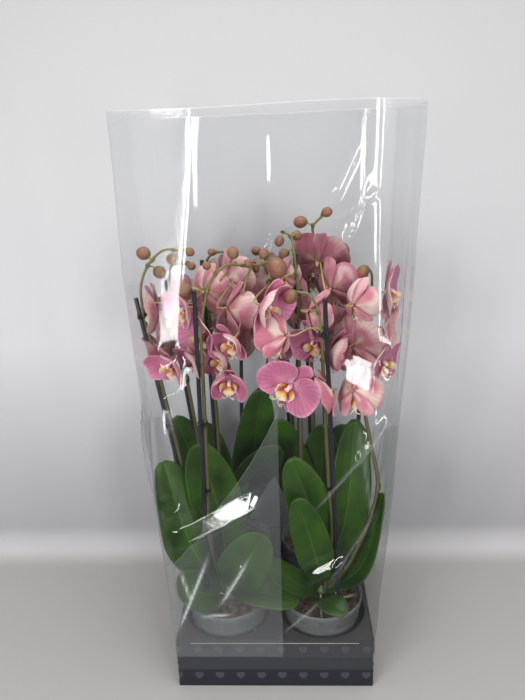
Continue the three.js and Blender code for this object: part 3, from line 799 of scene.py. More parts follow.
@dataclass(frozen=True)
class ClearFilm:
    """Clear glossy film: almost all light passes, and its skin mirrors the lights. Its cut edge and sharp
    ridges are whitened as painted highlights.

    Args:
        name: the material's name.
        tint: the colour of the light that passes.
        milk: the colour of its haze, and of the painted highlights on its cut edge and ridges.
        milkiness: how strong the haze is.
        straight_on: how much it mirrors when looked at squarely.
        grazing: the same at a grazing angle.
        roughness: how blurred its mirror is.
        cut_edge: the share of the height above which it is the cut edge.
        rim_white: how white the cut edge is, a painted highlight.
        ridge_white: how white a sharp ridge is, a painted highlight.
    """

    name: str = "sleeve_film_finish"
    tint: Colour = rgb(0.975, 0.98, 0.985)
    milk: Colour = rgb(0.86, 0.88, 0.90)
    milkiness: float = 0.004
    straight_on: float = 0.05
    grazing: float = 0.85
    roughness: float = 0.08
    cut_edge: float = 0.9985
    rim_white: float = 0.3
    ridge_white: float = 0.6

    def build(self) -> Material:
        """Makes the material."""
        recipe = Recipe(self.name)
        ripple = recipe.bump(recipe.noise(55, 2), 0.0004, 0.3)
        slant = recipe.add("LayerWeight", {"Blend": 0.5, "Normal": ripple}).outputs["Facing"]
        rise = recipe.math("MULTIPLY", recipe.math("POWER", slant, 5.0), self.grazing - self.straight_on)
        strength = recipe.math("ADD", rise, self.straight_on, clamp=True)
        clear = recipe.add("BsdfTransparent", {"Color": self.tint}).outputs[0]
        gloss = recipe.add("BsdfGlossy", {"Roughness": self.roughness, "Normal": ripple}).outputs[0]
        skin = recipe.add("MixShader", {0: strength, 1: clear, 2: gloss}).outputs[0]
        milky = recipe.add("BsdfDiffuse", {"Color": self.milk}).outputs[0]
        along = recipe.axes(recipe.uv)[1]
        # Painted highlights: the cut edge at the top and the sharply creased ridges are mixed towards
        # diffuse white. This is added to the film's own faint haze.
        rim = recipe.math("GREATER_THAN", along, self.cut_edge)
        white = recipe.math("MULTIPLY", recipe.math("POWER", recipe.read("stress"), 1.5), self.ridge_white)
        painted_rim_glint = recipe.math("MULTIPLY", rim, self.rim_white)
        haze_and_painted_glints = recipe.math("ADD", painted_rim_glint, recipe.math("ADD", white, self.milkiness))
        return recipe.finished(recipe.add("MixShader", {0: haze_and_painted_glints, 1: skin, 2: milky}).outputs[0])


@dataclass(frozen=True)
class ClearPot:
    """Clear, slightly milky moulded plastic that shows what is inside."""

    body: Colour = rgb(0.36, 0.39, 0.39)
    tint: Colour = rgb(0.80, 0.84, 0.84)
    solidity: float = 0.24
    roughness: float = 0.22

    def build(self) -> Material:
        """Makes the material."""
        recipe = Recipe("pot_plastic_finish")
        cloud = recipe.noise(55, 3, stretch=(1, 1, 3))
        shell = recipe.surface(
            Base_Color=self.body, Roughness=self.roughness, Normal=recipe.bump(cloud, 0.0006, 0.4),
        )
        clear = recipe.add("BsdfTransparent", {"Color": self.tint}).outputs[0]
        thick = recipe.math("MULTIPLY_ADD", cloud, 0.3)
        thick.node.inputs[2].default_value = self.solidity - 0.12
        return recipe.finished(recipe.add("MixShader", {0: thick, 1: clear, 2: shell}).outputs[0])


@dataclass(frozen=True)
class BarkChips:
    """Dry bark: rough, mottled brown, paler on its broken grain."""

    dark: Colour = rgb(0.030, 0.017, 0.010)
    brown: Colour = rgb(0.115, 0.062, 0.034)
    pale: Colour = rgb(0.26, 0.17, 0.10)
    roughness: float = 0.92

    def build(self) -> Material:
        """Makes the material."""
        recipe = Recipe("bark_finish")
        mottle = recipe.noise(130, 6)
        grain = recipe.noise(480, 5, stretch=(1, 1, 4))
        ground = recipe.ramp(mottle, (0.36, self.dark), (0.52, self.brown), (0.72, self.pale))
        shader = recipe.surface(
            Base_Color=recipe.mix(recipe.math("MULTIPLY", grain, 0.5), ground, self.dark),
            Roughness=self.roughness, Normal=recipe.bump(recipe.math("ADD", mottle, grain), 0.0016),
        )
        return recipe.finished(shader)


@dataclass(frozen=True)
class LeafSkin:
    """Thick waxy leaf: deep green above with a paler midrib, lighter and duller below."""

    name: str
    deep: Colour
    fresh: Colour
    rib: Colour
    roughness: float
    coat: float

    def build(self) -> Material:
        """Makes the material."""
        recipe = Recipe(self.name)
        across, along, _ = recipe.axes(recipe.uv)
        patch = recipe.math("ADD", recipe.noise(26, 3), recipe.math("MULTIPLY", along, 0.2))
        ground = recipe.ramp(patch, (0.40, self.deep), (0.80, self.fresh))
        veins = recipe.noise(1.0, 2, place=recipe.uv, stretch=(70, 2.2, 1))
        ground = recipe.mix(recipe.math("MULTIPLY", veins, 0.3), ground, self.deep)
        off_middle = recipe.math("ABSOLUTE", recipe.math("SUBTRACT", across, 0.5))
        near_rib = recipe.mask(off_middle, dark=0.03, light=0.004)
        fade = recipe.math("SUBTRACT", 0.75, recipe.math("MULTIPLY", along, 0.6))
        ground = recipe.mix(recipe.math("MULTIPLY", near_rib, fade), ground, self.rib)
        relief = recipe.bump(veins, 0.0006, 0.35)
        shader = recipe.surface(
            Base_Color=ground, Roughness=self.roughness, Normal=relief, Specular_IOR_Level=0.28,
            Subsurface_Weight=0.08, Subsurface_Scale=0.004, Coat_Weight=self.coat, Coat_Roughness=0.2,
        )
        return recipe.finished(shader)


@dataclass(frozen=True)
class PetalSkin:
    """One side of the sepals and petals, veined from the flower's middle to the edge.

    Args:
        name: the material's name.
        heart: the colour at the flower's middle.
        body: the colour of most of it.
        margin: the colour of the edge.
        vein: the colour of the veins.
        outer: the colour of the pale patches.
        vein_strength: how strong the veins are.
        roughness: how matt it is.
        vein_turns: how far round a sine wave the piece's width goes, 2 pi for each vein.
        patch_draw: how far apart in the noise two flowers' patches lie.
        patch_scale: how small the pale patches are.
    """

    name: str
    heart: Colour
    body: Colour
    margin: Colour
    vein: Colour
    outer: Colour
    vein_strength: float
    roughness: float = 0.5
    vein_turns: float = 88.0
    patch_draw: float = 23.0
    patch_scale: float = 1.7

    def build(self) -> Material:
        """Makes the material."""
        recipe = Recipe(self.name)
        across, along, _ = recipe.axes(recipe.uv)
        shade, cream = recipe.read("shade"), recipe.read("cream")
        wander = recipe.noise(3.0, 2, place=recipe.uv)
        side = recipe.math("MULTIPLY", recipe.math("ABSOLUTE", recipe.math("SUBTRACT", across, 0.5)), 2.0)
        ground = recipe.ramp(
            along, (0.05, self.heart), (0.45, self.body), (0.86, self.body), (1.0, self.margin),
        )
        ground = recipe.mix(recipe.mask(side, dark=0.86, light=1.0), ground, self.margin)
        own = recipe.math("MULTIPLY", shade, self.patch_draw)
        sockets = {"Vector": recipe.uv, "W": own, "Scale": self.patch_scale, "Detail": 1.0}
        cloud = recipe.add("TexNoise", sockets, noise_dimensions="4D").outputs["Fac"]
        inside = recipe.mask(side, dark=0.95, light=0.5)
        pale = recipe.math("MULTIPLY", recipe.mask(cloud, dark=0.40, light=0.58), inside)
        ground = recipe.mix(recipe.math("MULTIPLY", pale, cream), ground, self.outer)
        drift = recipe.math("MULTIPLY", wander, 0.06)
        turned = recipe.math("MULTIPLY", recipe.math("ADD", across, drift), self.vein_turns)
        lines = recipe.math("SINE", turned)
        sharp = recipe.math("POWER", recipe.math("MAXIMUM", lines, 0.0), 4.0)
        fine = recipe.noise(1.0, 3, place=recipe.uv, stretch=(46, 5, 1))
        veins = recipe.math("MULTIPLY", sharp, fine)
        veined = recipe.math("MULTIPLY", veins, self.vein_strength, clamp=True)
        ground = recipe.mix(veined, ground, self.vein)
        # Painted light and shade: each flower's colour value is scaled by the number it carries. Flowers at
        # the front are brighter and those deep in the plant darker, times a random tone.
        tone = recipe.add("HueSaturation", {"Color": ground, "Value": shade}).outputs[0]
        relief = recipe.bump(recipe.math("ADD", sharp, fine), 0.0003, 0.5)
        shader = recipe.surface(
            Base_Color=tone, Roughness=self.roughness, Normal=relief, Specular_IOR_Level=0.35,
            Subsurface_Weight=0.25, Subsurface_Radius=(1.0, 0.45, 0.5), Subsurface_Scale=0.004,
            Sheen_Weight=0.12, Sheen_Roughness=0.5,
        )
        return recipe.finished(shader)


@dataclass(frozen=True)
class Gradient:
    """A finish whose colour runs along the piece's own UV map, with a little mottling.

    Args:
        name: the material's name.
        stops: places along the piece and their colours.
        speck: the colour of the mottling.
        speck_share: how strong the mottling is.
        roughness: how matt it is.
        scatter: how much light goes into it.
    """

    name: str
    stops: tuple[tuple[float, Colour], ...]
    speck: Colour
    speck_share: float = 0.3
    roughness: float = 0.5
    scatter: float = 0.1

    def build(self) -> Material:
        """Makes the material."""
        recipe = Recipe(self.name)
        along = recipe.axes(recipe.uv)[1]
        mottle = recipe.noise(380, 4)
        ground = recipe.ramp(along, *self.stops)
        blotch = recipe.mask(mottle, dark=0.45, light=0.7)
        shader = recipe.surface(
            Base_Color=recipe.mix(recipe.math("MULTIPLY", blotch, self.speck_share), ground, self.speck),
            Roughness=self.roughness, Normal=recipe.bump(mottle, 0.0003, 0.4),
            Subsurface_Weight=self.scatter, Subsurface_Scale=0.003,
        )
        return recipe.finished(shader)


@dataclass(frozen=True)
class BlackPlastic:
    """Near-black moulded plastic, faintly blue, with a soft satin shine and light scuffs."""

    name: str
    colour: Colour
    scuff: Colour
    roughness: float

    def build(self) -> Material:
        """Makes the material."""
        recipe = Recipe(self.name)
        wear = recipe.noise(260, 5, stretch=(1, 1, 0.15))
        shader = recipe.surface(
            Base_Color=recipe.ramp(wear, (0.5, self.colour), (0.85, self.scuff)),
            Roughness=self.roughness, Normal=recipe.bump(wear, 0.0002, 0.3),
        )
        return recipe.finished(shader)


class Finish(Protocol):
    """Anything that makes a material."""

    def build(self) -> Material:
        """Makes the material."""


def made(finish: Finish) -> Material:
    """A field that holds the finish's material."""
    return field(default_factory=finish.build)


@dataclass
class Finishes:
    """Every finish, made once."""

    card: Material = made(CardPrint())
    dark_card: Material = made(DarkCard())
    film: Material = made(ClearFilm())
    double_film: Material = made(ClearFilm(name="sleeve_overlap_finish", milkiness=0.055))
    pot: Material = made(ClearPot())
    bark: Material = made(BarkChips())
    leaf_top: Material = made(LeafSkin(
        "leaf_top_finish", deep=rgb(0.007, 0.030, 0.001), fresh=rgb(0.034, 0.094, 0.003),
        rib=rgb(0.075, 0.17, 0.02), roughness=0.45, coat=0.12,
    ))
    leaf_under: Material = made(LeafSkin(
        "leaf_under_finish", deep=rgb(0.015, 0.045, 0.005), fresh=rgb(0.040, 0.095, 0.012),
        rib=rgb(0.07, 0.14, 0.03), roughness=0.55, coat=0.05,
    ))
    petal_face: Material = made(PetalSkin(
        "petal_face_finish", heart=rgb(0.60, 0.28, 0.38), body=rgb(0.50, 0.15, 0.265),
        margin=rgb(0.66, 0.32, 0.44), vein=rgb(0.34, 0.035, 0.12), outer=rgb(0.60, 0.22, 0.36),
        vein_strength=0.8,
    ))
    petal_back: Material = made(PetalSkin(
        "petal_back_finish", heart=rgb(0.46, 0.22, 0.14), body=rgb(0.48, 0.145, 0.205),
        margin=rgb(0.55, 0.19, 0.27), vein=rgb(0.38, 0.10, 0.12), outer=rgb(0.74, 0.56, 0.50),
        vein_strength=0.55,
    ))
    lip: Material = made(Gradient(
        "lip_finish",
        stops=((0.05, rgb(0.50, 0.06, 0.03)), (0.3, rgb(0.78, 0.36, 0.06)), (0.5, rgb(0.86, 0.66, 0.32)),
               (0.8, rgb(0.84, 0.68, 0.56))),
        speck=rgb(0.62, 0.14, 0.06), speck_share=0.35, roughness=0.4, scatter=0.2,
    ))
    column: Material = made(Gradient(
        "column_finish",
        stops=((0.3, rgb(0.60, 0.22, 0.34)), (0.6, rgb(0.76, 0.55, 0.58)), (0.8, rgb(0.86, 0.80, 0.74))),
        speck=rgb(0.55, 0.15, 0.25), speck_share=0.2, roughness=0.4, scatter=0.2,
    ))
    bud: Material = made(Gradient(
        "bud_finish",
        stops=((0.02, rgb(0.10, 0.10, 0.02)), (0.3, rgb(0.20, 0.105, 0.045)), (0.65, rgb(0.27, 0.09, 0.07)),
               (1.0, rgb(0.20, 0.11, 0.045))),
        speck=rgb(0.12, 0.095, 0.03), speck_share=0.6,
    ))
    stem: Material = made(Gradient(
        "stem_finish",
        stops=(
            (0.0, rgb(0.05, 0.065, 0.018)), (0.6, rgb(0.08, 0.085, 0.022)), (1.0, rgb(0.17, 0.16, 0.04)),
        ),
        speck=rgb(0.12, 0.055, 0.03), speck_share=0.55,
    ))
    pedicel: Material = made(Gradient(
        "pedicel_finish",
        stops=((0.0, rgb(0.17, 0.18, 0.05)), (0.55, rgb(0.34, 0.26, 0.10)), (1.0, rgb(0.50, 0.28, 0.17))),
        speck=rgb(0.36, 0.14, 0.08), speck_share=0.4,
    ))
    crown: Material = made(Gradient(
        "crown_finish",
        stops=((0.0, rgb(0.10, 0.09, 0.04)), (0.5, rgb(0.09, 0.13, 0.035)), (1.0, rgb(0.12, 0.19, 0.05))),
        speck=rgb(0.16, 0.11, 0.05), speck_share=0.6,
    ))
    root: Material = made(Gradient(
        "root_finish",
        stops=((0.0, rgb(0.26, 0.27, 0.16)), (0.5, rgb(0.42, 0.37, 0.28)), (0.93, rgb(0.30, 0.22, 0.14)),
               (1.0, rgb(0.16, 0.22, 0.06))),
        speck=rgb(0.20, 0.14, 0.08), speck_share=0.5, roughness=0.75,
    ))
    stake: Material = made(BlackPlastic(
        "stake_plastic_finish", colour=rgb(0.010, 0.011, 0.019), scuff=rgb(0.035, 0.036, 0.048),
        roughness=0.38,
    ))
    clip: Material = made(BlackPlastic(
        "clip_plastic_finish", colour=rgb(0.008, 0.008, 0.010), scuff=rgb(0.030, 0.030, 0.034),
        roughness=0.3,
    ))


# The sleeve's outline, which also limits how far the plants reach


@dataclass(frozen=True)
class Outline:
    """The sleeve's outline at one height, with its corner radii on the left and the right."""

    z: float
    half_width: float
    half_depth: float
    left: float
    right: float

    def corner(self, x: float) -> float:
        """The corner radius on the side where x lies."""
        return self.right if x > 0 else self.left


SLEEVE_OUTLINES = (
    Outline(53, 141.3, 141.3, 1.3, 1.3),
    Outline(85, 141.3, 141.3, 1.3, 1.3),
    Outline(110, 144, 143, 12, 8),
    Outline(150, 148, 146, 30, 20),
    Outline(200, 153, 148, 42, 28),
    Outline(300, 161, 150, 48, 34),
    Outline(420, 168, 150, 59, 39),
    Outline(500, 174, 150, 73, 46),
    Outline(600, 181, 150, 89, 53),
    Outline(700, 184.5, 150, 106, 59),
    Outline(790, 187, 150, 118, 61),
)


def outline_at(height: float) -> Outline:
    """The sleeve's outline at any height between its foot and its mouth."""
    for low, high in zip(SLEEVE_OUTLINES, SLEEVE_OUTLINES[1:]):
        if height <= high.z:
            share = (height - low.z) / (high.z - low.z)
            return Outline(*(blend(a, b, share) for a, b in zip(astuple(low), astuple(high))))
    return SLEEVE_OUTLINES[-1]


def held_inside(point: Vector, margin: float) -> Vector:
    """The point, moved in where needed so that it lies a margin inside the sleeve."""
    if point.z < SLEEVE_OUTLINES[0].z:
        return point
    outline = outline_at(point.z)
    half = Vector((outline.half_width - margin, outline.half_depth - margin))
    x, y = max(-half.x, min(half.x, point.x)), max(-half.y, min(half.y, point.y))
    radius = max(outline.corner(x) - margin, 0.1)
    past = Vector((abs(x) - (half.x - radius), abs(y) - (half.y - radius)))
    if past.x > 0 and past.y > 0 and past.length > radius:
        past *= radius / past.length
        x = math.copysign(half.x - radius + past.x, x)
        y = math.copysign(half.y - radius + past.y, y)
    return Vector((x, y, point.z))


# Card tray and insert


@dataclass
class Tray:
    """The open card tray and the dark folded insert that holds the pots."""

    finishes: Finishes
    edge_round: float = 0.7
    cut_round: float = 0.4
    hole_radius: float = 64.0
    hole_sides: int = 72

    def tray(self) -> None:
        """Builds the printed tray: a block, its top inset by the board and sunk to the floor."""
        side, high = TRAY_SIDE * MM, TRAY_HEIGHT * MM
        tray = Bench.start(
            "tray_carton", bpy.ops.mesh.primitive_cube_add,
            size=1, location=(0, 0, high / 2), scale=(side, side, high),
        )
        Bench.choose(tray, "FACE", lambda centre, normal: normal.z > 0.9)
        bpy.ops.mesh.inset(thickness=BOARD * MM)
        bpy.ops.mesh.extrude_region_move(TRANSFORM_OT_translate={"value": (0, 0, BOARD * MM - high)})
        Bench.done()
        Bench.modify(tray, "BEVEL", width=self.edge_round * MM, segments=3, limit_method="ANGLE")
        Bench.complete(tray, 40, self.finishes.card, Slot.CARD, "display_tray")

    def insert(self) -> None:
        """Builds the deck with its four round holes and the two legs that it stands on."""
        side = (TRAY_SIDE - 2 * (BOARD + GAP)) * MM
        deck_middle = (TRAY_HEIGHT - BOARD / 2) * MM
        deck = Bench.start(
            "insert_card", bpy.ops.mesh.primitive_cube_add,
            size=1, location=(0, 0, deck_middle), scale=(side, side, BOARD * MM),
        )
        for end in (-1, 1):
            leg_side = end * side / 2
            inner = leg_side - end * BOARD * MM
            Bench.open_whole(deck)
            bpy.ops.mesh.bisect(plane_co=(inner, 0, 0), plane_no=(1, 0, 0))
            Bench.done()
            Bench.choose(
                deck, "FACE", lambda centre, normal: normal.z < -0.9 and end * centre.x > end * inner,
            )
            drop = (BOARD + GAP) - (TRAY_HEIGHT - BOARD)
            bpy.ops.mesh.extrude_region_move(TRANSFORM_OT_translate={"value": (0, 0, drop * MM)})
            Bench.done()
        for plant in PLANTS:
            punch = Bench.start(
                "hole_punch", bpy.ops.mesh.primitive_cylinder_add,
                vertices=self.hole_sides, radius=self.hole_radius * MM, depth=10 * BOARD * MM,
                location=(plant.x * MM, plant.y * MM, deck_middle),
            )
            Bench.modify(deck, "BOOLEAN", operation="DIFFERENCE", object=punch, solver="EXACT")
            bpy.data.objects.remove(punch)
        Bench.modify(deck, "BEVEL", width=self.cut_round * MM, segments=2, limit_method="ANGLE")
        Bench.complete(deck, 35, self.finishes.dark_card, Slot.INNER_CARD, "pot_insert")

    def build(self) -> None:
        """Builds both."""
        self.tray()
        self.insert()


# Pots, bark, crowns and roots


@dataclass
class Potting:
    """What stands in the tray under each plant: pot, bark, the short crown and the aerial roots.

    Args:
        finishes: the finishes.
        profile: the pot's outer wall as radius and height, from the middle of its floor to its lip.
        seed: starts the scatter of chips and the bends of the roots.
    """

    finishes: Finishes
    sides: int = 64
    wall: float = 1.2
    profile: tuple[tuple[float, float], ...] = (
        (15, 2.3), (36, 2.3), (38, 4.0), (40.5, 4.0), (42.5, 2.3), (44.4, 3.2), (50.2, 42), (50.9, 43.5),
        (55.6, 78), (57.4, 93), (58.6, 94.5), (58.8, 103), (59.8, 104.2), (60, 109.2), (59.2, 110),
        (58, 109.4),
    )
    chips: int = 150
    chip_size: Triple = (13.0, 8.0, 4.5)
    chip_cuts: int = 5
    chip_cut_depth: tuple[float, float] = (3.2, 4.6)
    core_foot: float = 4.0
    core_radii: tuple[float, float] = (42.0, 52.9)
    heap_radius: float = 50.0
    crown_heights: tuple[float, float] = (79.0, 121.5)
    crown_radius: float = 8.2
    crown_sides: int = 28
    crown_rows: int = 40
    roots: int = 5
    root_heights: tuple[float, float] = (104.0, 100.5)
    seed: int = 11

    def pot(self, plant: Plant) -> None:
        """Draws the wall up ring by ring from a disc, opens drain slots and gives it its thickness."""
        radius, height = self.profile[0]
        near_rim = 0.9 * radius
        pot = Bench.start(
            plant.name + "_pot_shell", bpy.ops.mesh.primitive_circle_add,
            vertices=self.sides, radius=radius * MM, fill_type="TRIFAN",
            location=(plant.x * MM, plant.y * MM, height * MM),
        )
        Bench.choose(pot, "EDGE", lambda centre, line: self._off(plant, centre) > near_rim)
        for next_radius, next_height in self.profile[1:]:
            middle = (plant.x * MM, plant.y * MM, next_height * MM)
            rise = (next_height - height) * MM
            bpy.ops.mesh.extrude_region_move(TRANSFORM_OT_translate={"value": (0, 0, rise)})
            scale = next_radius / radius
            bpy.ops.transform.resize(value=(scale, scale, 1), center_override=middle)
            radius, height = next_radius, next_height
        Bench.done()
        Bench.choose(pot, "FACE", lambda centre, normal: self._drains(plant, centre))
        bpy.ops.mesh.delete(type="FACE")
        Bench.done()
        Bench.close(pot)
        Bench.face(pot, UP * -1)
        Bench.modify(pot, "SOLIDIFY", thickness=self.wall * MM, offset=-1)
        Bench.complete(pot, 50, self.finishes.pot, Slot.POT, plant.name + "_pot")

    @staticmethod
    def _round(plant: Plant, reach: float, angle: float, height: float) -> Vector:
        """The point at a reach, an angle and a height round the plant's axis."""
        return Vector((plant.x + reach * math.cos(angle), plant.y + reach * math.sin(angle), height))

    @staticmethod
    def _off(plant: Plant, point: Vector) -> float:
        """How far a point in metres lies from the plant's axis, in millimetres."""
        return math.hypot(point.x / MM - plant.x, point.y / MM - plant.y)

    def _drains(self, plant: Plant, centre: Vector) -> bool:
        """Whether a face of the floor is one of the drain slots."""
        off = self._off(plant, centre)
        turn = math.degrees(math.atan2(centre.y - plant.y * MM, centre.x - plant.x * MM)) % 45
        return self.profile[0][0] < off < self.profile[1][0] and turn < 360 / self.sides

    def chip(self, draw: random.Random) -> Piece:
        """One flake of bark: a block with its edges cut by slanting planes."""
        sides = [side * MM for side in self.chip_size]
        flake = Bench.start("bark_chip", bpy.ops.mesh.primitive_cube_add, size=1, scale=sides)
        for _ in range(self.chip_cuts):
            slope = Vector((draw.uniform(-1, 1), draw.uniform(-1, 1), draw.uniform(-0.7, 0.7))).normalized()
            Bench.open_whole(flake)
            cut = slope * draw.uniform(*self.chip_cut_depth) * MM
            bpy.ops.mesh.bisect(plane_co=cut, plane_no=slope, use_fill=True, clear_outer=True)
            Bench.done()
        return flake

    def bark(self, plant: Plant, flakes: Sequence[Piece], draw: random.Random) -> None:
        """Fills a pot: a rough core, and chips lying on it and along the clear wall."""
        foot, core_top = self.core_foot, BARK_TOP - 4
        low, high = self.core_radii
        pieces = [Bench.start(
            "bark_core", bpy.ops.mesh.primitive_cone_add,
            vertices=48, radius1=low * MM, radius2=high * MM, depth=(core_top - foot) * MM,
            location=(plant.x * MM, plant.y * MM, (foot + core_top) / 2 * MM),
        )]
        for index in range(self.chips):
            on_wall = index % 3 == 0
            angle = draw.uniform(0, 2 * math.pi)
            if on_wall:
                height = draw.uniform(10, BARK_TOP - 6)
                reach = blend(low, high + 2, (height - foot) / (BARK_TOP - foot)) - 1.0
                lie = Matrix.Rotation(angle, 4, "Z") @ Matrix.Rotation(draw.uniform(1.2, 1.9), 4, "Y")
            else:
                reach = self.heap_radius * math.sqrt(draw.uniform(0.03, 1.0))
                height = BARK_TOP - 3 * reach / self.heap_radius + draw.uniform(-2, 1.5)
                lie = Matrix.Rotation(angle, 4, "Z") @ Matrix.Rotation(draw.uniform(-0.6, 0.6), 4, "X")
            lie = lie @ Matrix.Rotation(draw.uniform(0, math.pi), 4, "Z")
            lie = lie @ Matrix.Scale(draw.uniform(0.8, 1.35), 4)
            spot = self._round(plant, reach, angle, height) * MM
            pieces.append(Bench.copy(flakes[index % len(flakes)], Matrix.Translation(spot) @ lie))
        bark = Bench.joined(plant.name + "_bark_fill", pieces)
        Bench.dress(bark, self.finishes.bark)
        Bench.hand_in(bark, Slot.BARK, plant.name + "_bark")

    def crown(self, plant: Plant) -> None:
        """The short stem of the plant, ringed by the scars and sheaths of its leaves."""
        sheaths, sheath_depth, pole = 7, 0.9, 0.01

        def place(u: float, v: float) -> Vector:
            """A point on the crown, whose first and last rings are drawn in to a point."""
            angle = 2 * math.pi * u
            height = blend(*self.crown_heights, min(max((v - 0.02) / 0.94, 0.0), 1.0))
            sheath = sheath_depth * abs(math.sin(math.pi * (v * sheaths + 0.25 * math.cos(angle))))
            radius = (self.crown_radius + sheath) * (1 - 0.45 * smooth((v - 0.75) / 0.25))
            if not pole < v < 1 - pole:
                radius = 0.0
            oval = 1.12 if math.cos(angle) > 0 else 1.0
            return Vector((
                plant.x + oval * radius * math.cos(angle), plant.y + radius * math.sin(angle), height,
            ))

        crown = Bench.surface(plant.name + "_crown_stump", self.crown_sides, self.crown_rows, place)
        Bench.close(crown)
        Bench.complete(crown, 180, self.finishes.crown, Slot.GREEN, plant.name + "_crown")

    def aerial_roots(self, plant: Plant, draw: random.Random) -> None:
        """Thick grey roots that leave the crown and lie on the bark."""
        pieces = []
        for index in range(self.roots):
            angle = 2 * math.pi * (index + draw.uniform(0.2, 0.8)) / self.roots
            bend, reach = draw.uniform(-0.7, 0.7), draw.uniform(38, 50)
            start, end = self.root_heights
            heights = (start, draw.uniform(108, 116), draw.uniform(102, 108), end + 1, end)
            points = []
            for step, height in enumerate(heights):
                share = step / (len(heights) - 1)
                points.append(self._round(plant, blend(6, reach, share), angle + bend * share, height))
            thick = draw.uniform(1.7, 2.3)

            def radius(share: float) -> float:
                """The root's radius, a little lumpy and rounded off at its tip."""
                return thick * (1 + 0.12 * math.sin(17 * share)) * (1 - 0.5 * smooth((share - 0.85) / 0.15))

            pieces.append(Bench.tube("root", Route(points), radius, 9, 26))
        roots = Bench.joined(plant.name + "_aerial_roots", pieces)
        Bench.dress(roots, self.finishes.root)
        Bench.hand_in(roots, Slot.GREEN)

    def build(self) -> None:
        """Builds what belongs to each plant's pot."""
        draw = random.Random(self.seed)
        flakes = [self.chip(draw) for _ in range(5)]
        for plant in PLANTS:
            self.pot(plant)
            self.bark(plant, flakes, draw)
            self.crown(plant)
            self.aerial_roots(plant, draw)
        for flake in flakes:
            bpy.data.objects.remove(flake)


# Leaves


@dataclass
class Foliage:
    """The broad strap leaves, two-sided, with a sunken midrib and softly waved edges."""

    finishes: Finishes
    columns: int = 22
    rows: int = 40
    thickness: float = 1.8
    root_width: float = 0.3
    widest: float = 0.55
    tip_end: float = 1.004
    top_level: float = 118.0
    level_step: float = 3.5
    fold: float = 0.17
    groove: float = 1.5

    def spread(self, share: float) -> float:
        """The leaf's width at a share of its length, 1 at the widest."""
        if share < self.widest:
            return blend(self.root_width, 1.0, smooth(share / self.widest))
        return math.sqrt(1 - ((share - self.widest) / (self.tip_end - self.widest)) ** 2.3)

    def leaf(self, plant: Plant, index: int) -> None:
        """Builds one leaf along its line from crown to tip."""
        leaf = plant.leaves[index]
        route = Route(((plant.x, plant.y, self.top_level - self.level_step * index), leaf.mid, leaf.tip))
        draw = random.Random(f"{plant.name}{index}")
        wave, phase, lean = draw.uniform(1.5, 3.0), draw.uniform(0, 6), draw.uniform(-1, 1)
        upper = Vector(leaf.face)

        def place(u: float, v: float) -> Vector:
            """A point on the blade, folded up on both sides of its midrib."""
            along = route.heading(v)
            across = along.cross(upper).normalized()
            up = across.cross(along)
            side = 2 * u - 1
            half = leaf.width / 2 * self.spread(v)
            rise = self.fold * half * abs(side) ** 1.5 * (1.35 - v)
            rise -= self.groove * bell(side, 0.09) * (1 - 0.7 * v)
            rise += wave * abs(side) ** 2.5 * math.sin(phase + 7 * v + side) * smooth(v * 3)
            bend = lean * 3 * math.sin(math.pi * v)
            point = route.at(v) + across * (side * half + bend) + up * rise
            return held_inside(point, 3.0)

        blade = Bench.surface(f"{plant.name}_leaf_blade_{index + 1}", self.columns, self.rows, place)
        Bench.face(blade, upper)
        Bench.dress(blade, self.finishes.leaf_top, self.finishes.leaf_under)
        Bench.thicken(blade, self.thickness)
        Bench.smooth(blade)
        Bench.hand_in(blade, Slot.LEAF, f"{plant.name}_leaf_{index + 1}")

    def build(self) -> None:
        """Builds every leaf."""
        for plant in PLANTS:
            for index in range(len(plant.leaves)):
                self.leaf(plant, index)


# Stakes and clips


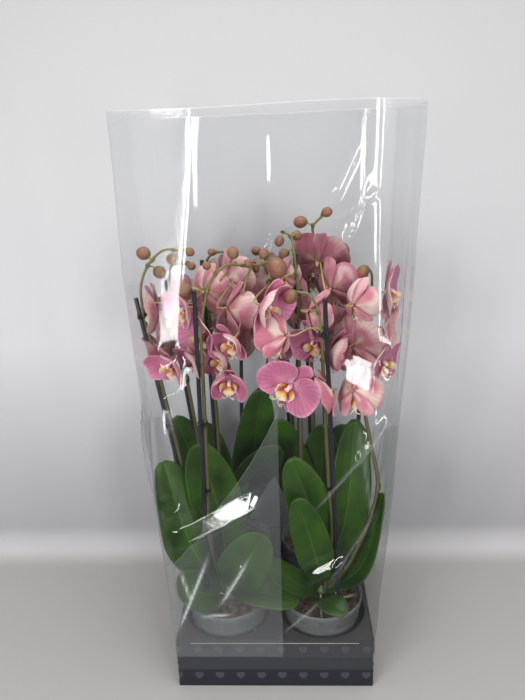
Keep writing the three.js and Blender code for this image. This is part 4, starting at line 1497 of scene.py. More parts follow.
@dataclass
class Supports:
    """The ribbed black stakes, and the butterfly clips that hold the stems to them."""

    finishes: Finishes
    sides: int = 20
    rib_depth: float = 0.22
    clip_height: float = 6.0
    clip_room: float = 1.1
    clip_wall: float = 0.9
    wing_size: tuple[float, float] = (1.4, 7.0)
    wing_out: float = 2.9
    wing_turn: float = 0.35
    hinge_radius: float = 1.5
    extra_clips: tuple[tuple[str, str, float], ...] = (
        ("front_left", "b", 300), ("front_right", "b", 300), ("front_right", "a", 430),
        ("back_left", "b", 430), ("back_right", "b", 440), ("back_right", "a", 410),
        ("front_left", "a", 380), ("back_left", "a", 400),
    )

    @staticmethod
    def line(stake: Stake) -> tuple[Vector, Vector]:
        """The stake's two ends."""
        return Vector((*stake.foot, STAKE_FOOT)), Vector(stake.top)

    @staticmethod
    def beside(stake: Stake, height: float) -> tuple[Vector, Vector]:
        """The stake's middle at a height, and the way from there to the stem's middle."""
        start, end = Supports.line(stake)
        middle = start.lerp(end, (height - start.z) / (end.z - start.z))
        side = Vector((*stake.spike.side, 0)).normalized() * STEM_TO_STAKE
        return middle, side

    def stake(self, plant: Plant, stake: Stake, letter: str) -> None:
        """Builds one stake: a ribbed rod whose top face is inset with a ring and whose foot face is drawn
        in to a small disc.
        """
        start, end = self.line(stake)
        along = (end - start).normalized()
        turn = UP.rotation_difference(along).to_matrix().to_4x4()
        length = (end - start).length
        rod = Bench.start(
            f"{plant.name}_stake_rod_{letter}", bpy.ops.mesh.primitive_cylinder_add,
            vertices=self.sides, radius=STAKE_RADIUS * MM, depth=length * MM,
        )
        tip = length / 2 * MM
        Bench.choose(rod, "FACE", lambda centre, normal: normal.z > 0.9)
        bpy.ops.mesh.inset(thickness=0.5 * MM, depth=0.0)
        Bench.done()
        Bench.choose(rod, "FACE", lambda centre, normal: normal.z < -0.9)
        bpy.ops.mesh.extrude_region_move(TRANSFORM_OT_translate={"value": (0, 0, -0.01 * MM)})
        bpy.ops.transform.resize(value=(0.3, 0.3, 1), center_override=(0, 0, -tip))
        Bench.done()
        for vertex in rod.data.vertices:
            around = round(math.atan2(vertex.co.y, vertex.co.x) / (2 * math.pi) * self.sides)
            if around % 2 and math.hypot(vertex.co.x, vertex.co.y) > (STAKE_RADIUS - 0.2) * MM:
                vertex.co.x *= 1 - self.rib_depth / STAKE_RADIUS
                vertex.co.y *= 1 - self.rib_depth / STAKE_RADIUS
        rod.data.transform(Matrix.Translation((start + end) / 2 * MM) @ turn)
        Bench.complete(rod, 28, self.finishes.stake, Slot.STAKE, f"{plant.name}_stake_{letter}")

    def clip_pattern(self) -> Piece:
        """One butterfly clip round a stake at the origin and a stem at +X, gripped by two wings."""
        ring, height, between = STAKE_RADIUS + self.clip_room, self.clip_height, STEM_TO_STAKE / 2 * MM
        parts = []
        for centre in (0.0, STEM_TO_STAKE):
            band = Bench.start(
                "clip_band", bpy.ops.mesh.primitive_cylinder_add,
                vertices=28, radius=ring * MM, depth=height * MM, end_fill_type="NOTHING",
                location=(centre * MM, 0, 0),
            )
            Bench.modify(band, "SOLIDIFY", thickness=self.clip_wall * MM, offset=-1)
            Bench.modify(band, "BEVEL", width=0.2 * MM, segments=2, limit_method="ANGLE")
            parts.append(band)
        for side in (-1, 1):
            thick, long = self.wing_size
            wing = Bench.start(
                "clip_wing", bpy.ops.mesh.primitive_cube_add,
                size=1, location=(between, side * (ring + self.wing_out) * MM, 0),
                rotation=(0, 0, side * self.wing_turn), scale=(thick * MM, long * MM, height * MM),
            )
            Bench.choose(wing, "FACE", lambda centre, normal: abs(normal.x) > 0.8)
            bpy.ops.mesh.inset(thickness=1.1 * MM, depth=-0.35 * MM, use_individual=True)
            Bench.done()
            Bench.modify(wing, "BEVEL", width=0.35 * MM, segments=2, limit_method="ANGLE")
            parts.append(wing)
        parts.append(Bench.start(
            "clip_hinge", bpy.ops.mesh.primitive_cylinder_add,
            vertices=16, radius=self.hinge_radius * MM, depth=(height + 1) * MM, location=(between, 0, 0),
        ))
        return Bench.joined("clip_pattern", parts)

    def clip(self, pattern: Piece, stake: Stake, height: float, name: str, *stands_for: str) -> None:
        """Copies the clip to its place on a stake."""
        start, end = self.line(stake)
        along = (end - start).normalized()
        middle, side = self.beside(stake, height)
        across = along.cross(side).normalized()
        clip = Bench.copy(pattern, placed(across.cross(along), across, along, middle))
        clip.name = name
        Bench.complete(clip, 40, self.finishes.clip, Slot.CLIP, *stands_for)

    def build(self) -> None:
        """Builds every stake and clip."""
        pattern = self.clip_pattern()
        for plant in PLANTS:
            for letter, stake in zip("abc", plant.stakes):
                self.stake(plant, stake, letter)
                if stake.spike and stake.spike.clip:
                    node = f"{plant.name}_clip_{letter}"
                    self.clip(pattern, stake, stake.spike.clip, f"{plant.name}_clip_body_{letter}", node)
                for owner, which, height in self.extra_clips:
                    if (owner, which) == (plant.name, letter):
                        self.clip(pattern, stake, height, f"{plant.name}_clip_low_{letter}")
        bpy.data.objects.remove(pattern)


# Flowers


@dataclass(frozen=True)
class Lobe:
    """A sepal or petal, drawn as a fan of veins from the flower's middle.

    Args:
        angle: its direction round the flower, in degrees from the right.
        reach: how far its tip lies from the middle.
        spread: half the angle that the fan opens to.
        stand: how far in front of the middle plane it starts.
        claw: how narrow it starts, as a share of its spread.
        cream: how pale the outer parts of its back are.
        columns: faces across.
    """

    angle: float
    reach: float
    spread: float
    stand: float
    claw: float
    cream: float
    columns: int


@dataclass(frozen=True)
class Form:
    """How a flower holds its petals.

    Args:
        bend: the table's figure that this form stands for.
        cup: how far the petals curl forwards from root to tip, in radians.
        hood: the same for the sepals.
        dish: how far a petal's sides curve forwards, in millimetres.
        wave: the height of the edge's waves, in millimetres.
    """

    bend: float
    cup: float
    hood: float
    dish: float
    wave: float


LOBES = (
    Lobe(90, 41, 25, -1.8, 0.5, 0.45, 12),
    Lobe(-53, 39, 27, -2.0, 0.5, 0.45, 12),
    Lobe(-127, 39, 27, -2.0, 0.5, 0.45, 12),
    Lobe(12, 43, 80, 0.6, 0.2, 0.9, 26),
    Lobe(168, 43, 80, 0.6, 0.2, 0.9, 26),
)
FORMS = (
    Form(bend=0.6, cup=0.5, hood=0.2, dish=2.0, wave=1.6),
    Form(bend=0.75, cup=0.8, hood=0.5, dish=3.0, wave=1.9),
    Form(bend=0.9, cup=1.15, hood=0.7, dish=4.5, wave=1.6),
    Form(bend=1.0, cup=1.4, hood=0.9, dish=5.5, wave=1.4),
    Form(bend=1.15, cup=1.7, hood=1.3, dish=6.0, wave=1.2),
)


@dataclass
class FlowerPattern:
    """One whole flower at the origin, facing +Z with its lip towards -Y."""

    finishes: Finishes
    form: Form
    seed: int
    lip_scale: float = 1.45
    middle: float = 2.2
    petal_thickness: float = 0.7
    rows: int = 14
    tendril: tuple[Triple, ...] = (
        (0, 0, 0), (1.6, -2.4, 0.2), (4.2, -3.0, 1.6), (5.6, -0.6, 3.2), (4.4, 1.6, 3.9), (2.9, 0.6, 3.4),
    )
    tendril_tone: float = 0.75

    def lobe(self, lobe: Lobe, draw: random.Random) -> Piece:
        """One sepal or petal, thin and two-sided."""
        form, broad = self.form, lobe.cream > 0.5
        curl = (form.cup if broad else form.hood) / lobe.reach * draw.uniform(0.82, 1.22)
        phase, twist, aside = draw.uniform(0, 6), draw.uniform(-4.0, 4.0), draw.uniform(-6, 6)

        def place(u: float, v: float) -> Vector:
            """A point on the lobe: u goes round its fan, and v from the flower's middle to the edge."""
            side = (2 * u - 1) * 0.999
            edge = (1 - abs(side) ** (3.4 if broad else 2.1)) ** 0.5
            edge *= 1 + 0.035 * math.sin(5 * side + phase)
            out = v ** 0.9
            arc = self.middle + (lobe.reach - self.middle) * edge * out
            opening = lobe.claw + (1 - lobe.claw) * smooth(out * 1.5)
            angle = math.radians(lobe.angle + aside + lobe.spread * side * opening)
            far = arc / lobe.reach
            reach = math.sin(curl * arc) / curl
            height = lobe.stand + (1 - math.cos(curl * arc)) / curl
            height += form.dish * side * side * far
            height -= 3.0 * max(far - 0.75, 0) ** 2 * 10
            height += form.wave * far ** 3 * math.sin(phase + 9 * side)
            height -= (1.1 if broad else 1.8) * bell(side, 0.16) * far * (1.2 - far)
            height += twist * side * far
            return Vector((reach * math.cos(angle), reach * math.sin(angle), height))

        piece = Bench.surface("lobe", lobe.columns, self.rows, place)
        Bench.face(piece, UP)
        Bench.dress(piece, self.finishes.petal_face, self.finishes.petal_back)
        Bench.thicken(piece, self.petal_thickness)
        Bench.mark(piece, "cream", lobe.cream)
        return piece

    def lip(self) -> list[Piece]:
        """The lip: a waisted middle lobe with two curled tendrils, and two upright side lobes."""

        def middle_lobe(u: float, v: float) -> Vector:
            """A point on the middle lobe, widest half way along."""
            side = 2 * u - 1
            half = blend(1.6, 6.2, smooth(v * 1.8)) * (1 - 0.78 * smooth((v - 0.45) * 1.9))
            keel = 1.7 * side * side * (1 - v) - 0.9 * bell(side, 0.3)
            return Vector((side * half, -4.0 - 11.5 * v, 2.5 + 10.5 * v - 6.5 * v * v + keel))

        def side_lobe(hand: int) -> Place:
            """The side lobe on the right, 1, or the left, -1."""

            def place(u: float, v: float) -> Vector:
                """A point on the side lobe, which rises and leans out."""
                half = 4.4 * math.sqrt(max(1 - (1.7 * v - 0.7) ** 2, 0.03))
                rise = (2 * u - 1) * half
                out = 2.2 + 5.2 * math.sin(2.1 * v) + 0.06 * rise * rise
                return Vector((hand * out, -2.6 + rise * 0.9 - 2.0 * v, 2.5 + 10.0 * v + 0.25 * rise))

            return place

        sheets = [Bench.surface("lip_middle", 10, 12, middle_lobe)]
        sheets += [Bench.surface("lip_side", 8, 10, side_lobe(hand)) for hand in (-1, 1)]
        for sheet in sheets:
            Bench.modify(sheet, "SOLIDIFY", thickness=0.7 * MM, offset=0)
        curls = []
        for hand in (-1, 1):
            tip = Vector((hand * 0.8, -15.2, 6.4))
            points = [tip + Vector((hand * x, y, z)) for x, y, z in self.tendril]
            line = Route(points, 6)
            curls.append(Bench.tube("tendril", line, lambda share: 0.6 * (1 - 0.5 * share), 6, 12))
            for corner in curls[-1].data.uv_layers.active.data:
                corner.uv.y = self.tendril_tone
        parts = [*sheets, *curls]
        for part in parts:
            part.data.transform(Matrix.Scale(self.lip_scale, 4))
        return parts

    def column(self) -> list[Piece]:
        """The column with its pale cap, and the two-part callus under it."""
        balls = (
            ((3.0, 3.4, 6.2), (0, 1.6, 6.0), 0.4), ((2.0, 1.8, 1.9), (1.3, -5.0, 6.0), 0.0),
            ((2.0, 1.8, 1.9), (-1.3, -5.0, 6.0), 0.0),
        )
        return [
            Bench.start(
                "column", bpy.ops.mesh.primitive_uv_sphere_add,
                segments=12, ring_count=8, radius=1, location=[MM * x for x in spot],
                rotation=(tilt, 0, 0), scale=[MM * r for r in radii],
            )
            for radii, spot, tilt in balls
        ]

    def build(self) -> Piece:
        """Builds the flower with its four finishes: petal face, petal back, lip and column."""
        draw = random.Random(self.seed)
        lobes = [self.lobe(lobe, draw) for lobe in LOBES]
        lip, column = self.lip(), self.column()
        for part in (*lip, *column[1:]):
            Bench.dress(part, self.finishes.lip)
        Bench.dress(column[0], self.finishes.column)
        flower = Bench.joined("flower_pattern", [*lobes, *lip, *column])
        Bench.smooth(flower, 60)
        return flower


@dataclass
class Flowers:
    """The flower spikes: stems with their knots, stalks, buds and flowers."""

    finishes: Finishes
    seed: int = 5
    stem_rows: int = 120
    root_height: float = 106.0
    tie_heights: tuple[float, ...] = (215, 320, 420)
    late_tie_heights: tuple[float, ...] = (400, 450)
    last_tie: float = 520.0
    tie_spread: tuple[float, float] = (-30, 6)
    knot_step: float = 82.0
    # Painted light and shade: across the depths in Y, flowers at the front are brightened by the first
    # factor and those deep in the plant are darkened by the second. Deeper flowers are also drawn larger.
    depths: tuple[float, float] = (-115.0, 15.0)
    front_painted_light: float = 1.12
    deep_painted_shade: float = 0.46
    deep_size: float = 1.12

    def stem_route(self, plant: Plant, stake: Stake) -> Route:
        """The stem's middle line: from the crown, up beside the stake, and over the arch."""
        spike = stake.spike
        last = max(spike.clip, self.last_tie)
        ties = self.late_tie_heights if spike.route else self.tie_heights
        heights = [*ties, *(last + step for step in self.tie_spread)]
        beside = [sum(Supports.beside(stake, height), Vector()) for height in heights]
        first = Vector(spike.route[0]) if spike.route else beside[0]
        axis = Vector((plant.x, plant.y, first.z))
        root = Vector((plant.x, plant.y, self.root_height)) + (first - axis).normalized() * 5
        return Route([root, *spike.route, *beside, *spike.arch])

    def stem(self, route: Route, knots: Sequence[float]) -> list[Piece]:
        """The stem, a little swollen at each knot, with a papery bract at the lower ones."""

        def radius(share: float) -> float:
            """The stem's radius, thinner towards its end."""
            swell = sum(0.75 * bell((share - knot) * route.length, 3.0) for knot in knots)
            return STEM_RADIUS * (1.05 - 0.42 * smooth((share - 0.5) / 0.4)) + swell

        pieces = [Bench.tube("stem", route, radius, 12, self.stem_rows)]
        for index, knot in enumerate(knots):
            middle, along = route.at(knot), route.heading(knot)
            out = along.orthogonal().normalized()
            out.rotate(Matrix.Rotation(index * math.pi, 3, along))
            aside = along.cross(out)
            size = 9.0 if knot < 0.6 else 5.0

            def bract(u: float, v: float) -> Vector:
                """A point on the bract, which wraps the stem and narrows to a tip."""
                angle = (2 * u - 1) * blend(1.5, 0.12, v ** 1.4)
                reach = radius(knot) + 0.25 + 0.9 * v * v
                way = out * math.cos(angle) + aside * math.sin(angle)
                return middle + way * reach + along * (size * v - 1)

            scale = Bench.surface("bract", 6, 5, bract)
            Bench.modify(scale, "SOLIDIFY", thickness=0.35 * MM, offset=1)
            pieces.append(scale)
        return pieces

    def stalk(self, route: Route, root: float, target: Vector, arrive: Vector, sag: float) -> Piece:
        """A flower or bud stalk that leaves the stem sideways and bends into its flower."""
        start = route.at(root)
        reach = (target - start).length
        leave = start.lerp(target, 0.33) + UP * sag * reach
        near = target + arrive * min(0.3 * reach, 14.0)
        line = Route((start, leave, near, target)) if reach > 12 else Route((start, target))

        def radius(share: float) -> float:
            """The stalk's radius, a little thinner half way along."""
            return PEDICEL_RADIUS * (1.12 - 0.3 * math.sin(math.pi * share))

        return Bench.tube("stalk", line, radius, 8, 12)

    def bud_pattern(self) -> Piece:
        """One closed bud of radius 1 mm, growing along +Z from its stalk, with three shallow seams."""
        sphere = bpy.ops.mesh.primitive_uv_sphere_add
        bud = Bench.start("bud_pattern", sphere, segments=24, ring_count=16, radius=MM)
        for vertex in bud.data.vertices:
            x, y, z = vertex.co / MM
            around = math.atan2(y, x)
            seam = 1 - 0.12 * max(math.cos(1.5 * around) ** 2 - 0.72, 0) * 3.5 * (1 - z * z)
            fat = seam * (1 + 0.10 * z - 0.10 * z * z)
            vertex.co = Vector((x * fat, y * fat * 0.94, z * 1.14 + 0.05 * z * z)) * MM
        return bud

    def spike(self, plant: Plant, stake: Stake, letter: str, flowers: Sequence[Piece],
              bud: Piece, draw: random.Random) -> None:
        """Builds one spike and everything on it.

        Args:
            plant: the plant.
            stake: the stake with its spike.
            letter: the spike's letter.
            flowers: the flower patterns, one for each form.
            bud: the bud pattern.
            draw: the source of small differences.
        """
        route = self.stem_route(plant, stake)
        stalks, buds, blooms = [], [], []
        count = int(0.5 * route.length / self.knot_step)
        knots = [0.06 + i * self.knot_step / route.length for i in range(count)]
        for x, y, z, radius in stake.spike.buds:
            target = Vector((x, y, z))
            root = route.nearest(target, 0.5)
            knots.append(root)
            grow = (target - route.at(root)).normalized()
            grow = (grow + Vector((0, 0, -0.35))).normalized()
            base = target - grow * radius * 0.95
            stalks.append(self.stalk(route, root, base, -grow, 0.08))
            right = grow.orthogonal().normalized()
            size = radius * draw.uniform(0.98, 1.1)
            buds.append(Bench.copy(bud, placed(right, grow.cross(right), grow, target, size)))
            Bench.mark(buds[-1], "shade", draw.uniform(0.85, 1.15))
        for x, y, z, turn, lift, tilt, size, bend in stake.spike.blooms:
            target = Vector((x, y, z))
            level = math.cos(math.radians(lift))
            out = Vector((math.sin(math.radians(turn)) * level, -math.cos(math.radians(turn)) * level,
                          math.sin(math.radians(lift))))
            root = route.nearest(target, 0.5)
            knots.append(root)
            stalks.append(self.stalk(route, root, target - out * 2.0, -out, 0.10))
            right = UP.cross(out).normalized()
            right.rotate(Matrix.Rotation(math.radians(tilt), 3, out))
            pattern = flowers[min(range(len(FORMS)), key=lambda index: abs(FORMS[index].bend - bend))]
            front, back = self.depths
            depth = smooth((y - front) / (back - front))
            size *= blend(1.0, self.deep_size, depth)
            bloom = Bench.copy(pattern, placed(right, out.cross(right), out, target, size))
            for vertex in bloom.data.vertices:
                vertex.co = held_inside(vertex.co / MM, 2.0) * MM
            # Painted shade by depth, times a random tone for this flower.
            shade = blend(self.front_painted_light, self.deep_painted_shade, depth) * draw.uniform(0.85, 1.08)
            Bench.mark(bloom, "shade", shade)
            blooms.append(bloom)
        stem = self.stem(route, sorted(knots))
        for piece in stem:
            Bench.dress(piece, self.finishes.stem)
        for piece in stalks:
            Bench.dress(piece, self.finishes.pedicel)
        name = f"{plant.name}_spike"
        whole = Bench.joined(f"{name}_stem_{letter}", [*stem, *stalks])
        Bench.smooth(whole, 60)
        Bench.hand_in(whole, Slot.GREEN, f"{name}_{letter}")
        closed = Bench.joined(f"{name}_buds_{letter}", buds)
        Bench.complete(closed, 180, self.finishes.bud, Slot.PETAL)
        opened = Bench.joined(f"{name}_blooms_{letter}", blooms)
        Bench.hand_in(opened, Slot.PETAL)

    def build(self) -> None:
        """Builds every spike."""
        draw = random.Random(self.seed)
        flowers = [FlowerPattern(self.finishes, form, seed).build() for seed, form in enumerate(FORMS)]
        bud = self.bud_pattern()
        for plant in PLANTS:
            for letter, stake in zip("abc", plant.stakes):
                if stake.spike:
                    self.spike(plant, stake, letter, flowers, bud, draw)
        for pattern in (*flowers, bud):
            bpy.data.objects.remove(pattern)


# Film sleeve


RIDGE_LINE = 2.2


@dataclass(frozen=True)
class Crease:
    """A fold in the film, from one point on the sleeve to another.

    Args:
        start: distance round the sleeve to the right of the front's middle, and height.
        end: the same for its other end.
        lift: how far the film stands out there, or in if negative.
        width: how wide it is on each side.
        slope: 0 for a ridge; 1 for a billow, whose upper side slopes back as far as width and then
            sinks behind the sleeve, while its lower side drops sharply; -1 for one the other way up.
        white: how white the film is along the line, a painted highlight on the sharp fold.
    """

    start: tuple[float, float]
    end: tuple[float, float]
    lift: float
    width: float
    slope: float = 0.0
    white: float = 0.0

    def profile(self, off: float) -> float:
        """The share of the lift at a distance from the fold's line."""
        if not self.slope:
            return max(1 - abs(off) / self.width, 0.0) ** 1.3
        sharp, sunk, recovery = 0.3, 0.8, 0.9
        above = off * self.slope / self.width
        if above < 0:
            return max(1 + above / sharp, 0.0) ** 1.3
        if above < 1:
            return 1 - (1 + sunk) * above
        return -sunk * (1 - smooth((above - 1) / recovery))

    def local(self, round_at: float, height: float) -> tuple[float, float]:
        """How much of the fold is left at a place, 0 past its ends, and the distance from its line."""
        start, end = Vector(self.start), Vector(self.end)
        line = end - start
        offset = Vector((round_at, height)) - start
        share = offset.dot(line) / line.length_squared
        past, fade = 0.3, 0.5
        if not -past < share < 1 + past:
            return 0.0, 0.0
        taper = smooth((share + past) / fade) * smooth((1 + past - share) / fade)
        return taper, line.cross(offset) / line.length

    def push(self, round_at: float, height: float) -> float:
        """How far this fold moves the film at a place."""
        taper, off = self.local(round_at, height)
        return self.lift * taper * self.profile(off)

    def stress(self, round_at: float, height: float) -> float:
        """How white the film is at a place, a painted highlight where this fold has creased it sharply."""
        taper, off = self.local(round_at, height)
        return self.white * taper * bell(off, RIDGE_LINE)


@dataclass
class Sleeve:
    """The clear film sleeve, tight round the tray and flaring to its open mouth, with its folds."""

    finishes: Finishes
    columns: int = 320
    rows: int = 180
    flat_width: float = 1165.0
    flat_height: float = 740.0
    facet_turn: tuple[float, float] = (12.0, 15.0)
    push_limits: tuple[float, float] = (-7.0, 9.0)
    seam: float = 14.0
    overlap_reach: float = 150.0
    overlap_heights: tuple[float, float] = (440.0, 190.0)
    mouth_sink: float = 2.0
    seed: int = 3
    creases: tuple[Crease, ...] = (
        Crease((-116, 246), (-14, 304), 8.8, 22.6, 1),
        Crease((-134, 452), (-84, 474), 5.3, 34, 1),
        Crease((82, 480), (128, 456), 5.4, 36, 1),
        Crease((54, 190), (96, 216), 5, 15, 1),
        Crease((-138, 286), (-116, 300), 6, 16, 1),
        # The last number of these folds is the strength of the painted highlight along their ridge.
        Crease((-128, 116), (-90, 214), 5, 9, 0, 1.0),
        Crease((-112, 158), (-122, 200), 4, 8, 0, 0.8),
        Crease((-68, 156), (-36, 214), 5, 9, 0, 0.9),
        Crease((-96, 128), (-62, 132), 4, 8, 0, 0.9),
        Crease((66, 310), (142, 408), 4, 11, 0, 0.35),
        Crease((78, 190), (130, 286), 4, 10, 0, 0.3),
        Crease((128, 300), (112, 410), 5, 13, 0, 0.3),
        Crease((20, 104), (58, 148), 4, 9, 0, 0.4),
        Crease((80, 690), (104, 742), 3, 8, 0, 0.3),
        Crease((90, 640), (112, 704), 3, 7, 0, 0.3),
        Crease((84, 668), (124, 694), 3, 6, 0, 0.3),
    )

    def around(self, share: float, height: float) -> tuple[Vector, Vector, float]:
        """A point on the sleeve's outline.

        Args:
            share: from 0 at the front's middle, round by the right, to 1.
            height: the height.

        Returns:
            The point, the way out of the sleeve, and the distance round from the front's middle.
        """
        outline = outline_at(height)
        quarter, part = divmod(min(share, 0.999999) * 4, 1)
        hand = 1 if quarter < 2 else -1
        corner = outline.corner(hand)
        if quarter % 2:
            part = 1 - part
        front, side = outline.half_width - corner, outline.half_depth - corner
        bend = corner * math.pi / 2
        whole = front + bend + side
        along = part * whole
        if along < front:
            x, y, out = along, outline.half_depth, Vector((0, 1, 0))
        elif along < front + bend:
            angle = (along - front) / corner
            out = Vector((math.sin(angle), math.cos(angle), 0))
            x, y = front + corner * out.x, side + corner * out.y
        else:
            x, y, out = outline.half_width, side - (along - front - bend), Vector((1, 0, 0))
        deep = -1 if quarter in (0, 3) else 1
        distance = along if quarter in (0, 3) else 2 * whole - along
        point, way = Vector((hand * x, deep * y, height)), Vector((hand * out.x, deep * out.y, 0))
        return point, way, hand * distance

    def pleat(self, distance: float, height: float) -> float:
        """How far the long flat facets, chords of the two front corners, lie behind the round outline."""
        outline = outline_at(height)
        radius = outline.corner(distance)
        past = abs(distance) - (outline.half_width - radius)
        turn = math.radians(self.facet_turn[1] if distance > 0 else self.facet_turn[0])
        wide = 2 * turn * radius
        if not 0 < past < wide:
            return 0.0
        share = past / wide
        return -wide * turn * share * (1 - share) * smooth((height - 120) / 120)

    def push(self, distance: float, height: float, folds: Sequence[Crease]) -> float:
        """How far folds and slack move the film out at a place."""
        free = smooth((height - 84) / 60)
        slack = 1.3 * math.sin(distance / 36 + height / 110) * math.sin(height / 70 - distance / 120)
        slack += 0.25 * math.sin(distance / 13 + 1.3 * math.sin(height / 70))
        slack *= 0.3 + 0.7 * smooth((abs(distance) - 120) / 80)
        folded = sum(fold.push(distance, height) for fold in folds)
        inmost, outmost = self.push_limits
        return max(inmost, min(outmost, free * (slack + self.pleat(distance, height) + folded)))

    def side_folds(self) -> list[Crease]:
        """Slanting folds on the sides and back, where the film is gathered towards the tray."""
        draw = random.Random(self.seed)
        folds = []
        for _ in range(34):
            centre = draw.choice((-1, 1)) * draw.uniform(190, 560)
            low = draw.uniform(100, 520)
            long, slope = draw.uniform(60, 170), draw.uniform(-0.5, 0.5)
            end = (centre + slope * long, low + long)
            lift, width, kind = draw.uniform(-4, 6), draw.uniform(9, 24), draw.choice((-1, 0, 1))
            folds.append(Crease((centre, low), end, lift, width, kind))
        return folds

    def wrap(self, folds: Sequence[Crease]) -> Piece:
        """Builds the film as one thin tube, open at both ends, with painted highlights in white along its
        sharp ridges.

        Args:
            folds: the folds that push the film out or in.

        Returns:
            The film, not yet dressed.
        """
        foot, mouth = SLEEVE_OUTLINES[0].z, SLEEVE_OUTLINES[-1].z
        painted_crease_glints = []

        def place(u: float, v: float) -> Vector:
            """A point on the film, whose rim is softly waved."""
            height = blend(foot, mouth, v)
            point, out, distance = self.around(u, height)
            painted_crease_glints.append(max(fold.stress(distance, height) for fold in self.creases))
            rim = smooth((v - 0.9) / 0.1)
            edge = self.mouth_sink * math.sin(distance / 60) * rim
            moved = point + out * self.push(distance, height, folds)
            return moved + UP * (edge - self.mouth_sink * rim)

        film = Bench.surface("sleeve_wrap", self.columns, self.rows, place)
        # The painted ridge highlights are stored on the film for its finish to read.
        film.data.attributes.new("stress", "FLOAT", "POINT").data.foreach_set("value", painted_crease_glints)
        Bench.close(film)
        return film

    def overlap(self, folds: Sequence[Crease]) -> Piece:
        """Builds the second layer of film behind the front seam, its top slanting down to the left.

        Args:
            folds: the same folds, so that both layers lie together.

        Returns:
            The second layer, not yet dressed.
        """
        foot = SLEEVE_OUTLINES[0].z + 1
        high, low = self.overlap_heights

        def place(u: float, v: float) -> Vector:
            """A point just inside the film: u goes left from the seam, and v up."""
            height = blend(foot, blend(high, low, u ** 0.8), v)
            distance = blend(self.seam - 2, -self.overlap_reach, u)
            outline = outline_at(height)
            x = max(min(distance, outline.half_width - 1), -(outline.half_width - 1))
            corner = outline.corner(x)
            past = min(abs(x) - (outline.half_width - corner), corner - 0.01)
            depth = outline.half_depth
            if past > 0:
                depth = outline.half_depth - corner + math.sqrt(corner ** 2 - past ** 2)
            inward = 0.5 + 1.2 * smooth((height - 90) / 40)
            return Vector((x, -depth - self.push(distance, height, folds) + inward, height))

        return Bench.surface("sleeve_overlap", 90, 90, place)

    def build(self) -> None:
        folds = [*self.creases, *self.side_folds()]
        sleeve, flap = self.wrap(folds), self.overlap(folds)
        Bench.complete(sleeve, 180, self.finishes.film, Slot.FILM, "film_sleeve")
        Bench.complete(flap, 180, self.finishes.double_film, Slot.FILM)


# Stage, lights and camera


@dataclass(frozen=True)
class SoftLight:
    """A rectangular light that looks at the object, turned by lean in its own plane."""

    name: str
    place: Triple
    target: Triple
    size: tuple[float, float]
    power: float
    lean: float = 0.0
    colour: Triple = (1.0, 1.0, 1.0)

    def build(self) -> None:
        """Adds the light."""
        data = bpy.data.lights.new(self.name, "AREA")
        data.shape = "RECTANGLE"
        data.size, data.size_y = self.size
        data.energy = self.power
        data.color = self.colour
        light = bpy.data.objects.new(self.name, data)
        bpy.context.scene.collection.objects.link(light)
        light.location = self.place
        aim = (Vector(self.target) - Vector(self.place)).to_track_quat("-Z", "Y").to_matrix()
        light.rotation_euler = (aim @ Matrix.Rotation(math.radians(self.lean), 3, "Z")).to_euler()


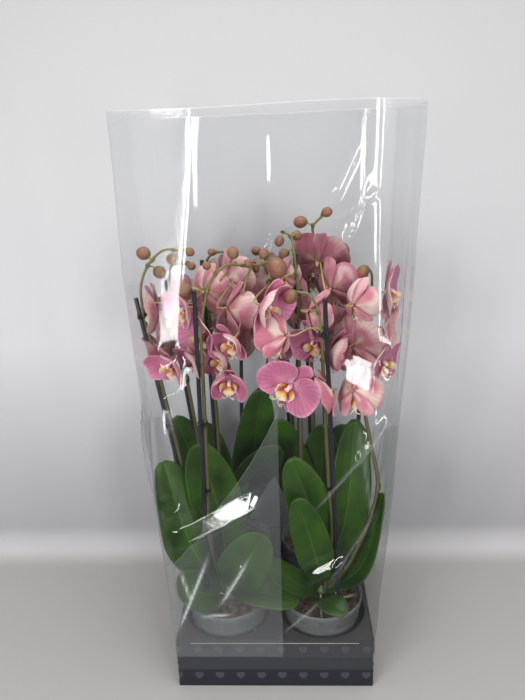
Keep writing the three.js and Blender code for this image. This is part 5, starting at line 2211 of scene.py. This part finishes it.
@dataclass
class Studio:
    """The pale sweep that the object stands on, the soft lights, and the camera at the photo's angle."""

    azimuth: float = -2.41
    pitch: float = 18.49
    roll: float = -1.80
    camera_place: Triple = (0.0265, -0.8645, 0.7558)
    lens: float = 32.914
    sensor: float = 36.0
    floor_half: float = 3.0
    wall_place: float = 0.185
    wall_bend: float = 0.05
    wall_height: float = 3.0
    front_floor: tuple[float, float] = (-0.36, -0.2)
    front_paint: Colour = rgb(0.03, 0.03, 0.033)
    sky: Colour = rgb(0.80, 0.81, 0.84)
    sky_turn: tuple[float, float] = (-0.75, 0.0)
    sky_strength: tuple[float, float] = (0.03, 0.42)
    lights: tuple[SoftLight, ...] = (
        SoftLight("ceiling_softbox", (0.1, -0.5, 2.3), (0, 0, 0.3), (1.8, 1.2), 42),
        SoftLight("left_strip", (-0.59, -0.90, 0.50), (-0.10, -0.15, 0.55), (0.055, 1.0), 3.8, lean=-12),
        SoftLight("right_strip", (0.700, -0.90, 0.50), (0.13, -0.15, 0.55), (0.035, 1.0), 2.6),
        SoftLight("left_fold_light", (-0.64, -1.45, 0.60), (-0.11, -0.15, 0.46), (0.22, 0.5), 6.0),
        SoftLight("right_fold_light", (0.58, -1.45, 0.62), (0.11, -0.15, 0.48), (0.24, 0.5), 7.0),
        SoftLight("low_fold_light", (-1.15, -1.45, 1.00), (-0.06, -0.15, 0.28), (0.36, 0.14), 3.5),
    )

    def sweep(self) -> None:
        """A floor that bends up into a one-sided wall behind the object, and the floor past it."""
        radius, half = self.wall_bend, self.floor_half

        def place(u: float, v: float) -> Vector:
            """A point on the floor, the bend or the wall, by the length along them."""
            x = blend(-half, half, u)
            start = half + self.wall_place - radius
            length = v * (start + radius * math.pi / 2 + self.wall_height)
            if length < start:
                return Vector((x, length - half, 0)) / MM
            angle = min((length - start) / radius, math.pi / 2)
            rise = max(length - start - radius * math.pi / 2, 0.0)
            y = start - half + radius * math.sin(angle)
            return Vector((x, y, radius * (1 - math.cos(angle)) + rise)) / MM

        sweep = Bench.surface("studio_sweep", 2, 620, place)
        Bench.face(sweep, UP)
        Bench.smooth(sweep)
        recipe = Recipe("studio_sweep_finish")
        blotch = recipe.noise(2.2, 2)
        _, depth, height = recipe.axes(recipe.place)
        # Painted light and shade: the sweep's colour changes with height. It has a pale band 12 mm above
        # the floor and a darker band at 50 mm, is lightest near 0.42 m up the wall, and darkens again
        # towards its top.
        sweep_colour_with_painted_light = recipe.ramp(
            height, (0.0, rgb(0.335, 0.325, 0.31)), (0.012, rgb(0.43, 0.42, 0.42)),
            (0.05, rgb(0.37, 0.365, 0.385)), (0.16, rgb(0.44, 0.435, 0.455)),
            (0.42, rgb(0.64, 0.635, 0.65)), (0.7, rgb(0.60, 0.60, 0.605)), (1.0, rgb(0.50, 0.50, 0.50)),
        )
        sweep_colour_with_painted_light = recipe.mix(recipe.math("MULTIPLY", blotch, 0.15), sweep_colour_with_painted_light, rgb(0.42, 0.42, 0.44))
        near, far = self.front_floor
        nearby = recipe.add("MapRange", {0: depth, 1: near, 2: far}).outputs[0]
        sweep_colour_with_painted_light = recipe.mix(nearby, self.front_paint, sweep_colour_with_painted_light)
        painted = recipe.surface(Base_Color=sweep_colour_with_painted_light, Roughness=0.6, Specular_IOR_Level=0.3)
        behind = recipe.add("NewGeometry").outputs["Backfacing"]
        clear = recipe.add("BsdfTransparent").outputs[0]
        finish = recipe.finished(recipe.add("MixShader", {0: behind, 1: painted, 2: clear}).outputs[0])
        floor = Bench.start(
            "studio_floor_behind", bpy.ops.mesh.primitive_plane_add,
            size=2, location=(0, self.wall_place + half, 0), scale=(half, half, 1),
        )
        for stage in (sweep, floor):
            Bench.dress(stage, finish)

    def camera(self) -> None:
        """The camera where the photograph was taken."""
        turn, down, tilt = (math.radians(angle) for angle in (self.azimuth, self.pitch, self.roll))
        ahead = Vector((math.sin(turn) * math.cos(down), math.cos(turn) * math.cos(down), -math.sin(down)))
        level = Vector((math.cos(turn), -math.sin(turn), 0))
        above = level.cross(ahead)
        right = level * math.cos(tilt) + above * math.sin(tilt)
        up = above * math.cos(tilt) - level * math.sin(tilt)
        data = bpy.data.cameras.new("photo_camera")
        data.lens, data.sensor_width = self.lens, self.sensor
        camera = bpy.data.objects.new("photo_camera", data)
        bpy.context.scene.collection.objects.link(camera)
        camera.matrix_world = placed(right, up, -ahead, [x / MM for x in self.camera_place])
        bpy.context.scene.camera = camera

    def build(self) -> None:
        """Sets the stage."""
        self.camera()
        self.sweep()
        for light in self.lights:
            light.build()
        world = bpy.data.worlds.new("studio_air")
        world.use_nodes = True
        nodes, links = world.node_tree.nodes, world.node_tree.links
        background = nodes["Background"]
        split, fade = nodes.new("ShaderNodeSeparateXYZ"), nodes.new("ShaderNodeMapRange")
        links.new(nodes.new("ShaderNodeTexCoord").outputs["Generated"], split.inputs[0])
        links.new(split.outputs["Y"], fade.inputs["Value"])
        for index, value in enumerate((*self.sky_turn, *self.sky_strength), start=1):
            fade.inputs[index].default_value = value
        links.new(fade.outputs["Result"], background.inputs["Strength"])
        background.inputs["Color"].default_value = self.sky
        bpy.context.scene.world = world
        bpy.context.scene.view_settings.view_transform = "Standard"


def main() -> None:
    """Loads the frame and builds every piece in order."""
    logging.basicConfig(level=logging.INFO, format="%(name)s %(message)s")
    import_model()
    finishes = Finishes()
    Studio().build()
    Tray(finishes).build()
    Potting(finishes).build()
    Supports(finishes).build()
    Foliage(finishes).build()
    Flowers(finishes).build()
    Sleeve(finishes).build()


if __name__ == "__main__":
    main()
